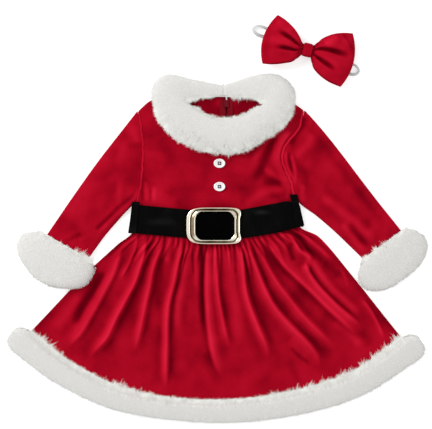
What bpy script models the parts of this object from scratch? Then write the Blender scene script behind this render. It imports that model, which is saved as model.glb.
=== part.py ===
"""A toddler's Santa dress with its belt and its bow headband, laid flat on a surface.

Metres, +Z up. +X is the wearer's left sleeve side as laid out, +Y runs from hem to neck,
and the surface is at z = 0. The origin lies under the belt, at the middle of the waist.
"""
from collections import namedtuple
from math import cos, hypot, pi, radians, sin, sqrt

import bmesh
import bpy
from mathutils import Vector

# Driving sizes
CLOTH = 0.0014
GAP = 0.0003
SEAM = 0.0007
LAYER_GAP = 0.00035
BELT_THICK = 0.0016
BELT_LEFT_END = -0.1198
BELT_RIGHT_END = 0.1205
BELT_END_SLANT = 0.0030
WAIST_HALF = 0.1155
BODICE_START = -0.113
BODICE_WIDTH = 0.230
BELT_INSIDE_TOP = 0.0069
COLLAR_BACK_LIFT = 0.0050
HEM_BACK_FUR = 0.0060
HEM_FRONT_FUR = 0.0120
HEM_CLOTH_LIFT = 0.0045
HEM_SEAM = 0.00045
CUFF_HEIGHT = 0.0215
CUFF_SLOT_Z = 0.0066
CUFF_SLOT_HALF = 0.0017
CUFF_OVER_SKIRT = 0.0040
GATHERS = 31
GATHER_HEIGHT = 0.0026
ZIP_X = 0.0146
ZIP_BOTTOM_Y = 0.022
ZIP_TAPE_WIDTH = 0.009
ZIP_TAPE_THICK = 0.0010
ZIP_TOP_Y = 0.1625
SLIDER_Y = 0.1545
PULL_PIVOT = Vector((ZIP_X, SLIDER_Y - 0.0025, 0.0019))
BUCKLE_X = -0.0028
BUCKLE_Y = -0.0157
BOW_X = 0.1274
BOW_Y = 0.2290
BOW_TURN = radians(-15)
RIBBON_WIDTH = 0.0055
RIBBON_THICK = 0.0010

# The belt's centre line, which is also the waist seam
BeltRow = namedtuple("BeltRow", "x y half_width")
BELT_LINE = (
    BeltRow(-0.1220, -0.0055, 0.0200),
    BeltRow(-0.0410, -0.0128, 0.0200),
    BeltRow(-0.0028, -0.0157, 0.0200),
    BeltRow(0.0360, -0.0131, 0.0202),
    BeltRow(0.0830, -0.0052, 0.0208),
    BeltRow(0.1010, -0.0015, 0.0200),
    BeltRow(0.1130, -0.0022, 0.0160),
    BeltRow(0.1230, -0.0028, 0.0125),
)

# Edges of the panels: share is the way along the edge
EdgeRow = namedtuple("EdgeRow", "share x y")
HEM_EDGE = (
    EdgeRow(0.000, -0.2570, -0.1620),
    EdgeRow(0.103, -0.2040, -0.2040),
    EdgeRow(0.258, -0.1240, -0.2430),
    EdgeRow(0.456, -0.0220, -0.2580),
    EdgeRow(0.656, 0.0810, -0.2510),
    EdgeRow(0.858, 0.1850, -0.2210),
    EdgeRow(1.000, 0.2580, -0.1710),
)
SKIRT_LEFT = (
    EdgeRow(0.00, -0.1155, -0.0059),
    EdgeRow(0.11, -0.1175, -0.0260),
    EdgeRow(0.22, -0.1370, -0.0415),
    EdgeRow(0.55, -0.1880, -0.0890),
    EdgeRow(1.00, -0.2570, -0.1620),
)
SKIRT_RIGHT = (
    EdgeRow(0.00, 0.1155, -0.0024),
    EdgeRow(0.08, 0.1180, -0.0180),
    EdgeRow(0.22, 0.1440, -0.0315),
    EdgeRow(0.52, 0.1890, -0.0840),
    EdgeRow(1.00, 0.2580, -0.1710),
)
BODICE_LEFT = (
    EdgeRow(0.00, -0.1155, -0.0053),
    EdgeRow(0.20, -0.1078, 0.0270),
    EdgeRow(0.34, -0.1042, 0.0480),
    EdgeRow(0.64, -0.1018, 0.0920),
    EdgeRow(0.86, -0.1050, 0.1250),
    EdgeRow(1.00, -0.1080, 0.1450),
)
BODICE_RIGHT = (
    EdgeRow(0.00, 0.1155, -0.0017),
    EdgeRow(0.20, 0.1082, 0.0300),
    EdgeRow(0.31, 0.1045, 0.0460),
    EdgeRow(0.46, 0.0950, 0.0670),
    EdgeRow(0.57, 0.0925, 0.0830),
    EdgeRow(0.69, 0.0995, 0.1000),
    EdgeRow(0.82, 0.1150, 0.1190),
    EdgeRow(1.00, 0.1220, 0.1460),
)
UNDERARM = 0.20
BODICE_ROWS = 15
ARMHOLE_ROWS = 12
SKIRT_ROWS = 11
SKIRT_ROW_POWER = 1.35

# Neck and shoulder line of the two bodice layers
NeckRow = namedtuple("NeckRow", "x front_y back_y")
NECK_LINE = (
    NeckRow(-0.1080, 0.1450, 0.1450),
    NeckRow(-0.0920, 0.1585, 0.1585),
    NeckRow(-0.0650, 0.1640, 0.1650),
    NeckRow(-0.0400, 0.1560, 0.1655),
    NeckRow(-0.0150, 0.1350, 0.1645),
    NeckRow(0.0120, 0.1270, 0.1640),
    NeckRow(0.0400, 0.1350, 0.1640),
    NeckRow(0.0660, 0.1560, 0.1640),
    NeckRow(0.0920, 0.1600, 0.1610),
    NeckRow(0.1090, 0.1545, 0.1545),
    NeckRow(0.1220, 0.1460, 0.1460),
)

# Folds of the skirt front: a crest runs through three points, steep names its steeper side
Fold = namedtuple("Fold", "top_x top_y mid_x mid_y end_x end_y height width steep")
SKIRT_FOLDS = (
    Fold(-0.1120, -0.036, -0.1576, -0.103, -0.1980, -0.176, 0.0040, 0.020, 0),
    Fold(-0.0960, -0.036, -0.1220, -0.107, -0.1640, -0.195, 0.0070, 0.015, 1),
    Fold(-0.0734, -0.036, -0.0948, -0.104, -0.1190, -0.205, 0.0065, 0.014, 1),
    Fold(-0.0490, -0.044, -0.0665, -0.116, -0.0745, -0.250, 0.0080, 0.014, 1),
    Fold(-0.0420, -0.050, -0.0480, -0.096, -0.0520, -0.150, 0.0028, 0.011, 0),
    Fold(-0.0110, -0.040, -0.0090, -0.136, 0.0060, -0.230, 0.0065, 0.019, -1),
    Fold(0.0168, -0.050, 0.0265, -0.127, 0.0310, -0.200, 0.0030, 0.014, 0),
    Fold(0.0365, -0.042, 0.0503, -0.127, 0.0760, -0.212, 0.0075, 0.014, 1),
    Fold(0.0470, -0.052, 0.0836, -0.127, 0.1450, -0.215, 0.0070, 0.015, 1),
    Fold(0.0720, -0.046, 0.1200, -0.100, 0.2080, -0.184, 0.0065, 0.016, 0),
    Fold(0.1030, -0.030, 0.1580, -0.095, 0.2120, -0.152, 0.0045, 0.014, 1),
    Fold(0.1800, -0.098, 0.2110, -0.121, 0.2400, -0.176, 0.0030, 0.013, 0),
)
BODICE_FOLDS = (
    Fold(0.0840, 0.126, 0.0830, 0.100, 0.0780, 0.062, 0.0030, 0.009, 1),
    Fold(0.0560, 0.050, 0.0500, 0.035, 0.0460, 0.016, 0.0014, 0.012, 0),
    Fold(-0.0960, 0.050, -0.0930, 0.036, -0.0900, 0.018, 0.0016, 0.008, 0),
    Fold(-0.0700, 0.060, -0.0640, 0.040, -0.0600, 0.018, 0.0012, 0.013, 0),
)

# Sleeves: the outer and inner edge at each section, from armhole to wrist
SleeveRow = namedtuple("SleeveRow", "share outer_x outer_y inner_x inner_y height")
SLEEVE_LEFT = (
    SleeveRow(0.00, -0.1085, 0.1450, -0.1085, 0.0270, 0.0049),
    SleeveRow(0.18, -0.1345, 0.1130, -0.1215, 0.0090, 0.0062),
    SleeveRow(0.40, -0.1645, 0.0745, -0.1345, -0.0060, 0.0066),
    SleeveRow(0.70, -0.2040, 0.0190, -0.1560, -0.0310, 0.0064),
    SleeveRow(1.00, -0.2355, -0.0280, -0.1775, -0.0612, 0.0058),
)
SLEEVE_RIGHT = (
    SleeveRow(0.00, 0.1225, 0.1460, 0.1090, 0.0300, 0.0049),
    SleeveRow(0.18, 0.1440, 0.1240, 0.1200, 0.0130, 0.0062),
    SleeveRow(0.40, 0.1750, 0.0850, 0.1390, -0.0010, 0.0066),
    SleeveRow(0.70, 0.2130, 0.0350, 0.1680, -0.0260, 0.0064),
    SleeveRow(1.00, 0.2577, -0.0222, 0.2049, -0.0619, 0.0058),
)
WRIST_LIFT = 0.0038
SLEEVE_FOLD_EDGE = 0.018
SLEEVE_ACROSS = (
    [0.0, SLEEVE_FOLD_EDGE]
    + [k / ARMHOLE_ROWS for k in range(1, ARMHOLE_ROWS)]
    + [1.0 - SLEEVE_FOLD_EDGE, 1.0]
)

# Fur cuffs: an oval ring, turned by turn degrees, whose long side takes the sleeve
Cuff = namedtuple("Cuff", "x y turn half_length slot_shift side")
CUFF_LEFT = Cuff(-0.2254, -0.0693, -30, 0.0315, 0.0044, "left")
CUFF_RIGHT = Cuff(0.2454, -0.0672, 37, 0.0290, 0.0039, "right")
CuffRow = namedtuple("CuffRow", "share left right")
CUFF_SHAPE = (
    CuffRow(0.00, 0.0400, 0.0370),
    CuffRow(0.07, 0.0470, 0.0405),
    CuffRow(0.17, 0.0534, 0.0488),
    CuffRow(0.28, 0.0557, 0.0525),
    CuffRow(0.40, 0.0566, 0.0556),
    CuffRow(0.55, 0.0546, 0.0550),
    CuffRow(0.69, 0.0486, 0.0525),
    CuffRow(0.79, 0.0410, 0.0475),
    CuffRow(0.90, 0.0280, 0.0398),
    CuffRow(0.96, 0.0185, 0.0310),
    CuffRow(1.00, 0.0120, 0.0170),
)
CUFF_SLOT_HALF_WIDTH = 0.034
CUFF_SLOT_TAPER = 0.026
CUFF_WALL_STEPS = 14

# Fur collar: a row for each section, round from the centre back by the right-hand side as worn
CollarRow = namedtuple("CollarRow", "section inner_x inner_y outer_x outer_y height")
COLLAR = (
    CollarRow(0, 0.0095, 0.1625, 0.0090, 0.1812, 0.0185),
    CollarRow(1, -0.0110, 0.1620, -0.0110, 0.1855, 0.0195),
    CollarRow(2, -0.0260, 0.1605, -0.0340, 0.1900, 0.0215),
    CollarRow(3, -0.0335, 0.1580, -0.0640, 0.1965, 0.0235),
    CollarRow(4, -0.0360, 0.1555, -0.0840, 0.1880, 0.0255),
    CollarRow(5, -0.0345, 0.1530, -0.0915, 0.1690, 0.0270),
    CollarRow(6, -0.0300, 0.1500, -0.0870, 0.1470, 0.027),
    CollarRow(7, -0.0240, 0.1465, -0.0770, 0.1265, 0.027),
    CollarRow(8, -0.0150, 0.1410, -0.0550, 0.1040, 0.027),
    CollarRow(9, -0.0030, 0.1360, -0.0200, 0.0880, 0.027),
    CollarRow(10, 0.0120, 0.1345, 0.0120, 0.0844, 0.027),
    CollarRow(11, 0.0280, 0.1365, 0.0420, 0.0885, 0.027),
    CollarRow(12, 0.0400, 0.1405, 0.0730, 0.1075, 0.027),
    CollarRow(13, 0.0490, 0.1455, 0.0940, 0.1225, 0.027),
    CollarRow(14, 0.0565, 0.1490, 0.1070, 0.1440, 0.027),
    CollarRow(15, 0.0615, 0.1515, 0.1120, 0.1670, 0.027),
    CollarRow(16, 0.0635, 0.1545, 0.1050, 0.1830, 0.0265),
    CollarRow(17, 0.0600, 0.1575, 0.0900, 0.1945, 0.0245),
    CollarRow(18, 0.0500, 0.1605, 0.0690, 0.1975, 0.0230),
    CollarRow(19, 0.0320, 0.1620, 0.0420, 0.1920, 0.0200),
    CollarRow(20, 0.0115, 0.1625, 0.0110, 0.1812, 0.0185),
)

# Hem band: width of the fur from the seam to its outer edge
BandRow = namedtuple("BandRow", "share width")
HEM_BAND = (
    BandRow(0.00, 0.040),
    BandRow(0.12, 0.037),
    BandRow(0.35, 0.032),
    BandRow(0.50, 0.033),
    BandRow(0.70, 0.035),
    BandRow(0.90, 0.038),
    BandRow(1.00, 0.041),
)
HEM_END_LENGTH = 0.021

# Bow wings in the bow's own axes: a runs along the bow from its knot, b across it
WingRow = namedtuple("WingRow", "reach top_a top_b low_a low_b bulge height middle")
WING_LEFT = (
    WingRow(0.00, 0.0006, 0.0052, 0.0006, -0.0052, 0.000, 0.0080, 0.0089),
    WingRow(0.154, 0.0092, 0.0076, 0.0092, -0.0080, 0.000, 0.0092, 0.0092),
    WingRow(0.30, 0.0150, 0.0138, 0.0145, -0.0190, 0.001, 0.0150, 0.0108),
    WingRow(0.50, 0.0260, 0.0230, 0.0252, -0.0252, 0.003, 0.0185, 0.0122),
    WingRow(0.75, 0.0400, 0.0308, 0.0405, -0.0312, 0.006, 0.0195, 0.0127),
    WingRow(1.00, 0.0528, 0.0360, 0.0558, -0.0348, 0.010, 0.0185, 0.0122),
)
WING_RIGHT = (
    WingRow(0.00, 0.0006, 0.0052, 0.0006, -0.0052, 0.000, 0.0080, 0.0089),
    WingRow(0.154, 0.0092, 0.0080, 0.0092, -0.0082, 0.000, 0.0092, 0.0092),
    WingRow(0.30, 0.0148, 0.0190, 0.0128, -0.0194, 0.001, 0.0150, 0.0108),
    WingRow(0.50, 0.0268, 0.0283, 0.0228, -0.0278, 0.003, 0.0185, 0.0122),
    WingRow(0.75, 0.0405, 0.0342, 0.0388, -0.0346, 0.006, 0.0195, 0.0127),
    WingRow(1.00, 0.0550, 0.0380, 0.0575, -0.0380, 0.010, 0.0185, 0.0122),
)
# Pleats pressed into a wing by the knot: where across the wing they lie, near it and far out
Pleat = namedtuple("Pleat", "near far depth width reach")
PLEATS_LEFT = (Pleat(0.35, 0.48, 0.0042, 0.26, 0.80), Pleat(-0.10, -0.32, 0.0038, 0.24, 0.75))
PLEATS_RIGHT = (Pleat(0.30, 0.16, 0.0040, 0.24, 0.95), Pleat(-0.25, -0.58, 0.0042, 0.24, 0.80))

# The headband's elastic ribbon in the bow's axes; stand is 0 where it lies flat, 1 on edge
RibbonRow = namedtuple("RibbonRow", "a b stand lift")
RIBBON = (
    RibbonRow(-0.0802, 0.0100, 1.0, 0.0),
    RibbonRow(-0.0755, 0.0156, 1.0, 0.0),
    RibbonRow(-0.0650, 0.0158, 0.8, 0.0),
    RibbonRow(-0.0380, 0.0100, 0.1, 0.0),
    RibbonRow(-0.0130, 0.0036, 0.0, 0.0016),
    RibbonRow(0.0000, 0.0031, 0.0, 0.0022),
    RibbonRow(0.0130, 0.0034, 0.0, 0.0016),
    RibbonRow(0.0380, 0.0010, 0.1, 0.0),
    RibbonRow(0.0620, -0.0014, 0.8, 0.0),
    RibbonRow(0.0720, -0.0032, 1.0, 0.0),
    RibbonRow(0.0768, -0.0092, 1.0, 0.0),
    RibbonRow(0.0722, -0.0150, 1.0, 0.0),
    RibbonRow(0.0620, -0.0155, 0.8, 0.0),
    RibbonRow(0.0380, -0.0110, 0.1, 0.0),
    RibbonRow(0.0130, -0.0037, 0.0, 0.0016),
    RibbonRow(0.0000, -0.0031, 0.0, 0.0022),
    RibbonRow(-0.0130, -0.0034, 0.0, 0.0016),
    RibbonRow(-0.0380, 0.0012, 0.1, 0.0),
    RibbonRow(-0.0650, 0.0030, 0.8, 0.0),
    RibbonRow(-0.0755, 0.0046, 1.0, 0.0),
)
RIBBON_ON_EDGE = radians(52)

# Buckle
BUCKLE_HALF_X = 0.0387
BUCKLE_HALF_Y = 0.0257
BUCKLE_HOLE_HALF_X = 0.0268
BUCKLE_HOLE_HALF_Y = 0.0196
BUCKLE_HOLE_SHIFT = 0.0011
BUCKLE_Z = 0.0093
BUCKLE_HEIGHT = 0.0042
BUCKLE_BAR_WIDTH = 0.005
BUCKLE_BAR_THICK = 0.0019
LipRow = namedtuple("LipRow", "across height")
BUCKLE_LIP = (
    LipRow(0.00, 0.00),
    LipRow(0.00, 0.62),
    LipRow(0.16, 1.00),
    LipRow(0.34, 0.86),
    LipRow(0.52, 0.50),
    LipRow(0.72, 0.66),
    LipRow(0.92, 0.62),
    LipRow(1.00, 0.40),
    LipRow(1.00, 0.00),
)

# Buttons
BUTTON_X = 0.0048
BUTTON_YS = {"button_top": 0.0714, "button_bottom": 0.0389}
BUTTON_HALF_X = 0.0080
BUTTON_HALF_Y = 0.0064
BUTTON_HOLE_RADIUS = 0.0009
BUTTON_HOLE_STEP = 0.0017
ProfileRow = namedtuple("ProfileRow", "radius height")
BUTTON_PROFILE = (
    ProfileRow(0.00, 0.0015),
    ProfileRow(0.55, 0.0015),
    ProfileRow(0.68, 0.0026),
    ProfileRow(0.86, 0.0028),
    ProfileRow(1.00, 0.0018),
    ProfileRow(0.96, 0.0006),
    ProfileRow(0.70, 0.0000),
    ProfileRow(0.00, 0.0000),
)

# Belt loops: the middle of each end
Loop = namedtuple("Loop", "top_x top_y low_x low_y")
BELT_LOOPS = {
    "belt_loop_left": Loop(-0.1100, 0.0240, -0.1165, -0.0262),
    "belt_loop_right": Loop(0.1080, 0.0280, 0.1165, -0.0172),
}
BELT_LOOP_WIDTH = 0.0105
BELT_LOOP_THICK = 0.0012

# Colours, roughness and metallic values
VELVET = (0.38, 0.004, 0.018, 1.0)
FUR = (0.78, 0.79, 0.76, 1.0)
BLACK = (0.006, 0.006, 0.007, 1.0)
GOLD = (0.78, 0.62, 0.42, 1.0)
PEARL = (0.80, 0.79, 0.75, 1.0)
RED_NYLON = (0.30, 0.004, 0.014, 1.0)
RED_METAL = (0.26, 0.006, 0.014, 1.0)
WHITE_ELASTIC = (0.66, 0.67, 0.66, 1.0)


def ease(start, end, value):
    """0 before start, 1 after end, and smooth between them."""
    t = min(max((value - start) / (end - start), 0.0), 1.0)
    return t * t * (3.0 - 2.0 * t)


def power(value, exponent):
    """A power that keeps the sign, for squared-off ovals."""
    return (abs(value) ** exponent) * (1.0 if value >= 0.0 else -1.0)


def read(table, at):
    """The row of a table at a value of its first column, on a smooth curve through its rows."""
    make = type(table[0])
    if at <= table[0][0]:
        return table[0]
    if at >= table[-1][0]:
        return table[-1]
    i = 0
    while table[i + 1][0] < at:
        i += 1
    low, high = table[i], table[i + 1]
    before = table[max(i - 1, 0)]
    after = table[min(i + 2, len(table) - 1)]
    step = high[0] - low[0]
    t = (at - low[0]) / step
    values = [at]
    for c in range(1, len(low)):
        slope_low = (high[c] - before[c]) / (high[0] - before[0]) * step
        slope_high = (after[c] - low[c]) / (after[0] - low[0]) * step
        values.append(
            low[c] * (1 + 2 * t) * (1 - t) ** 2
            + slope_low * t * (1 - t) ** 2
            + high[c] * t * t * (3 - 2 * t)
            + slope_high * t * t * (t - 1)
        )
    return make(*values)


def patch(low, high, left, right, u, v):
    """A point of the panel that four edge curves bound; u runs across it and v up it."""
    def blend(axis):
        corners = (
            (1 - u) * (1 - v) * low(0.0)[axis]
            + u * (1 - v) * low(1.0)[axis]
            + (1 - u) * v * high(0.0)[axis]
            + u * v * high(1.0)[axis]
        )
        rows = (1 - v) * low(u)[axis] + v * high(u)[axis]
        sides = (1 - u) * left(v)[axis] + u * right(v)[axis]
        return rows + sides - corners
    return blend(0), blend(1)


def belt_y(x):
    return read(BELT_LINE, x).y


def edge_point(table, share):
    row = read(table, share)
    return row.x, row.y


def fold_height(folds, x, y):
    """Height that the folds add: a crest with one steeper side, fading at both of its ends."""
    total = 0.0
    for fold in folds:
        run = fold.end_y - fold.top_y
        t = (y - fold.top_y) / run
        if t <= 0.0 or t >= 1.0:
            continue
        m = (fold.mid_y - fold.top_y) / run
        first = (t - m) * (t - 1) / m
        second = t * (t - 1) / (m * (m - 1))
        third = t * (t - m) / (1 - m)
        crest_x = fold.top_x * first + fold.mid_x * second + fold.end_x * third
        slant = hypot(1.0, (fold.end_x - fold.top_x) / run)
        width = fold.width * (0.75 + 0.55 * t)
        away = (x - crest_x) / (slant * width)
        if fold.steep * away > 0.0:
            away *= 1.7
        if abs(away) >= 1.0:
            continue
        shape = (1.0 - abs(away)) ** 2 * (1.0 + 2.0 * abs(away))
        fade = ease(0.0, 0.22, t) * (1.0 - ease(0.72, 1.0, t))
        total += fold.height * shape * fade
    return total


def back_low(x, y, drop=0.0):
    """Underside of the dress's back: flat, and raised over the belt, the collar and the hem fur."""
    over_belt = (BELT_THICK + GAP) * (1 - ease(0.034, 0.052, abs(y - belt_y(x))))
    over_pull = COLLAR_BACK_LIFT * ease(0.098, 0.127, y) * (1 - ease(0.030, 0.062, abs(x - ZIP_X)))
    over_hem = HEM_CLOTH_LIFT * ease(0.84, 0.985, drop)
    return max(over_belt, over_pull, over_hem)


def bodice_puff(x, y, across):
    """How far the bodice front stands off its back, beyond the layers' own gap."""
    at_side = 0.0018 * ease(0.030, 0.060, y) * (1 - ease(0.125, 0.146, y))
    off_belt = 0.4 + 0.6 * ease(0.022, 0.044, abs(y - belt_y(x)))
    middle = 0.0026 * off_belt
    return at_side + (middle - at_side) * (1 - abs(2 * across - 1) ** 3)


def bodice_front_low(x, y, across):
    off_belt = ease(0.021, 0.036, y - belt_y(x))
    inside = ease(0.0, 0.06, across) * ease(0.0, 0.06, 1 - across)
    folds = fold_height(BODICE_FOLDS, x, y) * off_belt * inside
    return back_low(x, y) + CLOTH + LAYER_GAP + bodice_puff(x, y, across) + folds


def gather_height(across, below):
    """The gathers along the waist seam, each with a steep and a slow side and a reach of its own."""
    phase = across * GATHERS
    index = int(min(phase, GATHERS - 1e-6))
    part = phase - index
    crest = 1 / 3 if index % 2 else 2 / 3
    rise = part / crest if part < crest else (1 - part) / (1 - crest)
    reach = 0.034 + 0.016 * sin(index * 2.3) + 0.010 * sin(index * 5.1)
    size = 1.0 + 0.22 * sin(index * 1.7)
    under_belt = 0.22 + 0.78 * ease(0.0215, 0.034, below)
    fade = 1 - ease(0.45 * reach + 0.02, 1.7 * reach + 0.02, below)
    return GATHER_HEIGHT * size * rise * under_belt * fade


def skirt_front_low(x, y, across, drop):
    below = belt_y(x) - y
    inside = ease(0.01, 0.07, across) * ease(0.01, 0.07, 1 - across)
    folds = fold_height(SKIRT_FOLDS, x, y) * ease(0.022, 0.045, below)
    puff = 0.0006 * (1 - abs(2 * across - 1) ** 4)
    return (
        back_low(x, y, drop) + CLOTH + LAYER_GAP + puff
        + (folds + gather_height(across, below)) * inside
    )


def waist(side):
    """The waist seam as an edge; side is +1 for the bodice and -1 for the skirt."""
    def edge(share):
        x = WAIST_HALF * (2 * share - 1)
        return x, belt_y(x) + side * GAP / 2
    return edge


def neck(column):
    def edge(share):
        x = NECK_LINE[0].x + (NECK_LINE[-1].x - NECK_LINE[0].x) * share
        return x, getattr(read(NECK_LINE, x), column)
    return edge


def side(table):
    return lambda share: edge_point(table, share)


def bodice_share(x):
    """How far across the bodice an x lies, from 0 at its left edge to 1 at its right."""
    return min(max((x - BODICE_START) / BODICE_WIDTH, 0.0), 1.0)


def zip_opening(y):
    """How far each side of the zip stands off its middle line, wider above the slider."""
    return 0.0011 * ease(0.142, 0.150, y)


def bodice_point(column, u, v):
    return patch(waist(1), neck(column), side(BODICE_LEFT), side(BODICE_RIGHT), u, v)


def skirt_point(u, drop):
    return patch(waist(-1), side(HEM_EDGE), side(SKIRT_LEFT), side(SKIRT_RIGHT), u, drop)


def new_collection(name):
    collection = bpy.data.collections.new(name)
    bpy.context.scene.collection.children.link(collection)
    return collection


def put_in(obj, collection):
    for old in list(obj.users_collection):
        old.objects.unlink(obj)
    collection.objects.link(obj)


def paint(obj, name, colour, roughness, metallic=0.0):
    material = bpy.data.materials.get(name)
    if material is None:
        material = bpy.data.materials.new(name)
        material.use_nodes = True
        shader = material.node_tree.nodes["Principled BSDF"]
        shader.inputs["Base Color"].default_value = colour
        shader.inputs["Roughness"].default_value = roughness
        shader.inputs["Metallic"].default_value = metallic
    obj.data.materials.clear()
    obj.data.materials.append(material)


def rename(obj, name):
    obj.name = name
    obj.data.name = name


def map_grid(name, across, along, place):
    """A grid whose points go where place(u, v) puts them, u and v running from 0 to 1."""
    bpy.ops.mesh.primitive_grid_add(x_subdivisions=across, y_subdivisions=along, size=1.0)
    obj = bpy.context.object
    rename(obj, name)
    for vertex in obj.data.vertices:
        vertex.co = place(vertex.co.x + 0.5, vertex.co.y + 0.5)
    return obj


def finish_solid(obj, material, smooth=True):
    put_in(obj, parts)
    paint(obj, *material)
    for polygon in obj.data.polygons:
        polygon.use_smooth = smooth


def sheet(name, across, along, place, thick, material):
    """A piece of cloth: its underside as a mapped grid, thickened upwards."""
    obj = map_grid(name, across, along, place)
    mesh = bmesh.new()
    mesh.from_mesh(obj.data)
    mesh.normal_update()
    if sum(face.normal.z * face.calc_area() for face in mesh.faces) < 0:
        bmesh.ops.reverse_faces(mesh, faces=mesh.faces)
    mesh.to_mesh(obj.data)
    mesh.free()
    thicken(obj, thick, 1.0)
    finish_solid(obj, material)
    return obj


def thicken(obj, thick, offset):
    solidify = obj.modifiers.new("Thickness", "SOLIDIFY")
    solidify.thickness = thick
    solidify.offset = offset
    solidify.use_even_offset = True
    solidify.thickness_clamp = 1.2


def roll(name, around, along, place, material, capped=False):
    """A grid rolled up so that its edges meet, and capped where it is a closed body."""
    obj = map_grid(name, around, along, place)
    mesh = bmesh.new()
    mesh.from_mesh(obj.data)
    bmesh.ops.remove_doubles(mesh, verts=mesh.verts, dist=1e-6)
    if capped:
        rim = [edge for edge in mesh.edges if edge.is_boundary]
        bmesh.ops.holes_fill(mesh, edges=rim, sides=0)
    bmesh.ops.recalc_face_normals(mesh, faces=mesh.faces)
    mesh.to_mesh(obj.data)
    mesh.free()
    finish_solid(obj, material)
    return obj


def make_bodice():
    velvet = ("Velvet", VELVET, 0.75)

    def front(u, v):
        x, y = bodice_point("front_y", u, v)
        return x, y, bodice_front_low(x, y, u)
    sheet("bodice_front", 18, BODICE_ROWS, front, CLOTH, velvet)

    def back_half(start_share, end_share, way):
        """One half of the back; way is -1 left of the zip and +1 right of it."""
        def place(u, v):
            across = start_share + (end_share - start_share) * u
            x, y = bodice_point("back_y", across, v)
            off_zip = 1 - u if way < 0 else u
            if off_zip < 1e-6:
                x = ZIP_X + way * (GAP / 2 + zip_opening(y))
            return x, y, back_low(x, y)
        return place
    middle = bodice_share(ZIP_X)
    sheet("bodice_back_left", 8, BODICE_ROWS, back_half(0.0, middle, -1), CLOTH, velvet)
    sheet("bodice_back_right", 7, BODICE_ROWS, back_half(middle, 1.0, 1), CLOTH, velvet)


def make_skirt():
    velvet = ("Velvet", VELVET, 0.75)

    def front(u, v):
        drop = (1 - v) ** SKIRT_ROW_POWER
        x, y = skirt_point(u, drop)
        return x, y, skirt_front_low(x, y, u, drop)
    sheet("skirt_front", 3 * GATHERS, SKIRT_ROWS, front, CLOTH, velvet)

    def back(u, v):
        drop = (1 - v) ** SKIRT_ROW_POWER
        x, y = skirt_point(u, drop)
        return x, y, back_low(x, y, drop)
    sheet("skirt_back", 14, SKIRT_ROWS, back, CLOTH, velvet)


def sleeve_place(table, armhole, outward):
    """A flattened tube from the armhole, whose points match the bodice's rows, to the wrist."""
    def place(turn, share):
        row = read(table, share)
        position = round((1 - abs(1 - 2 * turn)) * (len(SLEEVE_ACROSS) - 1))
        part = SLEEVE_ACROSS[position]
        rise = (1 - abs(1 - 2 * part) ** 8) ** 0.5 * (1 if turn < 0.5 else -1)
        x = row.outer_x + (row.inner_x - row.outer_x) * part
        y = row.outer_y + (row.inner_y - row.outer_y) * part
        hole_share = 1 - (1 - UNDERARM) * part
        hole_x, hole_y = edge_point(armhole, hole_share)
        above = edge_point(armhole, min(hole_share + 0.02, 1.0))
        under = edge_point(armhole, hole_share - 0.02)
        run = Vector((above[0] - under[0], above[1] - under[1])).normalized()
        near = 1 - ease(0.0, 0.34, share)
        seam = SEAM + 0.0013 * ease(0.14, 0.0, part)
        x += (hole_x + outward * run.y * seam - x) * near
        y += (hole_y - outward * run.x * seam - y) * near
        low = WRIST_LIFT * ease(0.80, 0.97, share)
        return x, y, low + row.height * (1 + rise) / 2
    return place


def make_sleeves():
    velvet = ("Velvet", VELVET, 0.75)
    around = 2 * (len(SLEEVE_ACROSS) - 1)
    left = roll("sleeve_left", around, 7, sleeve_place(SLEEVE_LEFT, BODICE_LEFT, -1), velvet)
    right = roll("sleeve_right", around, 7, sleeve_place(SLEEVE_RIGHT, BODICE_RIGHT, 1), velvet)
    for sleeve in (left, right):
        thicken(sleeve, CLOTH, -1.0)


def over_skirt(x, y):
    """How high a cuff must clear the skirt's side where the two lie over each other."""
    table = SKIRT_LEFT if x < 0 else SKIRT_RIGHT
    edge = [edge_point(table, k / 60) for k in range(61)]
    edge_x = min(edge, key=lambda point: abs(point[1] - y))[0]
    past = abs(edge_x) - abs(x)
    return CUFF_OVER_SKIRT * ease(-0.030, -0.014, past)


def cuff_place(cuff):
    along_x, along_y = cos(radians(cuff.turn)), sin(radians(cuff.turn))
    hand_x, hand_y = (along_y, -along_x)

    def place(turn, wall):
        angle = 2 * pi * turn
        around = 2 * pi * (wall + 0.5 / CUFF_WALL_STEPS)
        share = 0.5 - 0.5 * power(cos(around), 0.75)
        thick = 0.5 + 0.5 * power(sin(around), 0.75)
        half = CUFF_SLOT_HALF_WIDTH - CUFF_SLOT_TAPER * share ** 2
        half += (getattr(read(CUFF_SHAPE, share), cuff.side) - half) * thick
        shift = cuff.slot_shift * (1 - ease(0.0, 0.35, share))
        across = half * power(cos(angle), 0.75) + shift
        way = (2 * share - 1) * cuff.half_length
        rise = power(sin(angle), 0.75 if sin(angle) > 0 else 0.5)
        full = CUFF_HEIGHT - CUFF_SLOT_Z if rise > 0 else CUFF_SLOT_Z
        x = cuff.x + along_x * across + hand_x * way
        y = cuff.y + along_y * across + hand_y * way
        z = CUFF_SLOT_Z + rise * (CUFF_SLOT_HALF + (full - CUFF_SLOT_HALF) * thick)
        return x, y, max(z, over_skirt(x, y), 0.0)
    return place


def make_cuffs():
    fur = ("Fur", FUR, 0.95)
    roll("cuff_left", 24, CUFF_WALL_STEPS, cuff_place(CUFF_LEFT), fur)
    roll("cuff_right", 24, CUFF_WALL_STEPS, cuff_place(CUFF_RIGHT), fur)


def collar_low(x, y):
    """Underside of the collar: on the bodice, and down on the surface behind the shoulders."""
    on_bodice = bodice_front_low(x, min(y, 0.150), bodice_share(x)) + CLOTH + GAP + 0.0002
    return on_bodice * (1 - ease(0.1665, 0.1760, y))


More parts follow.
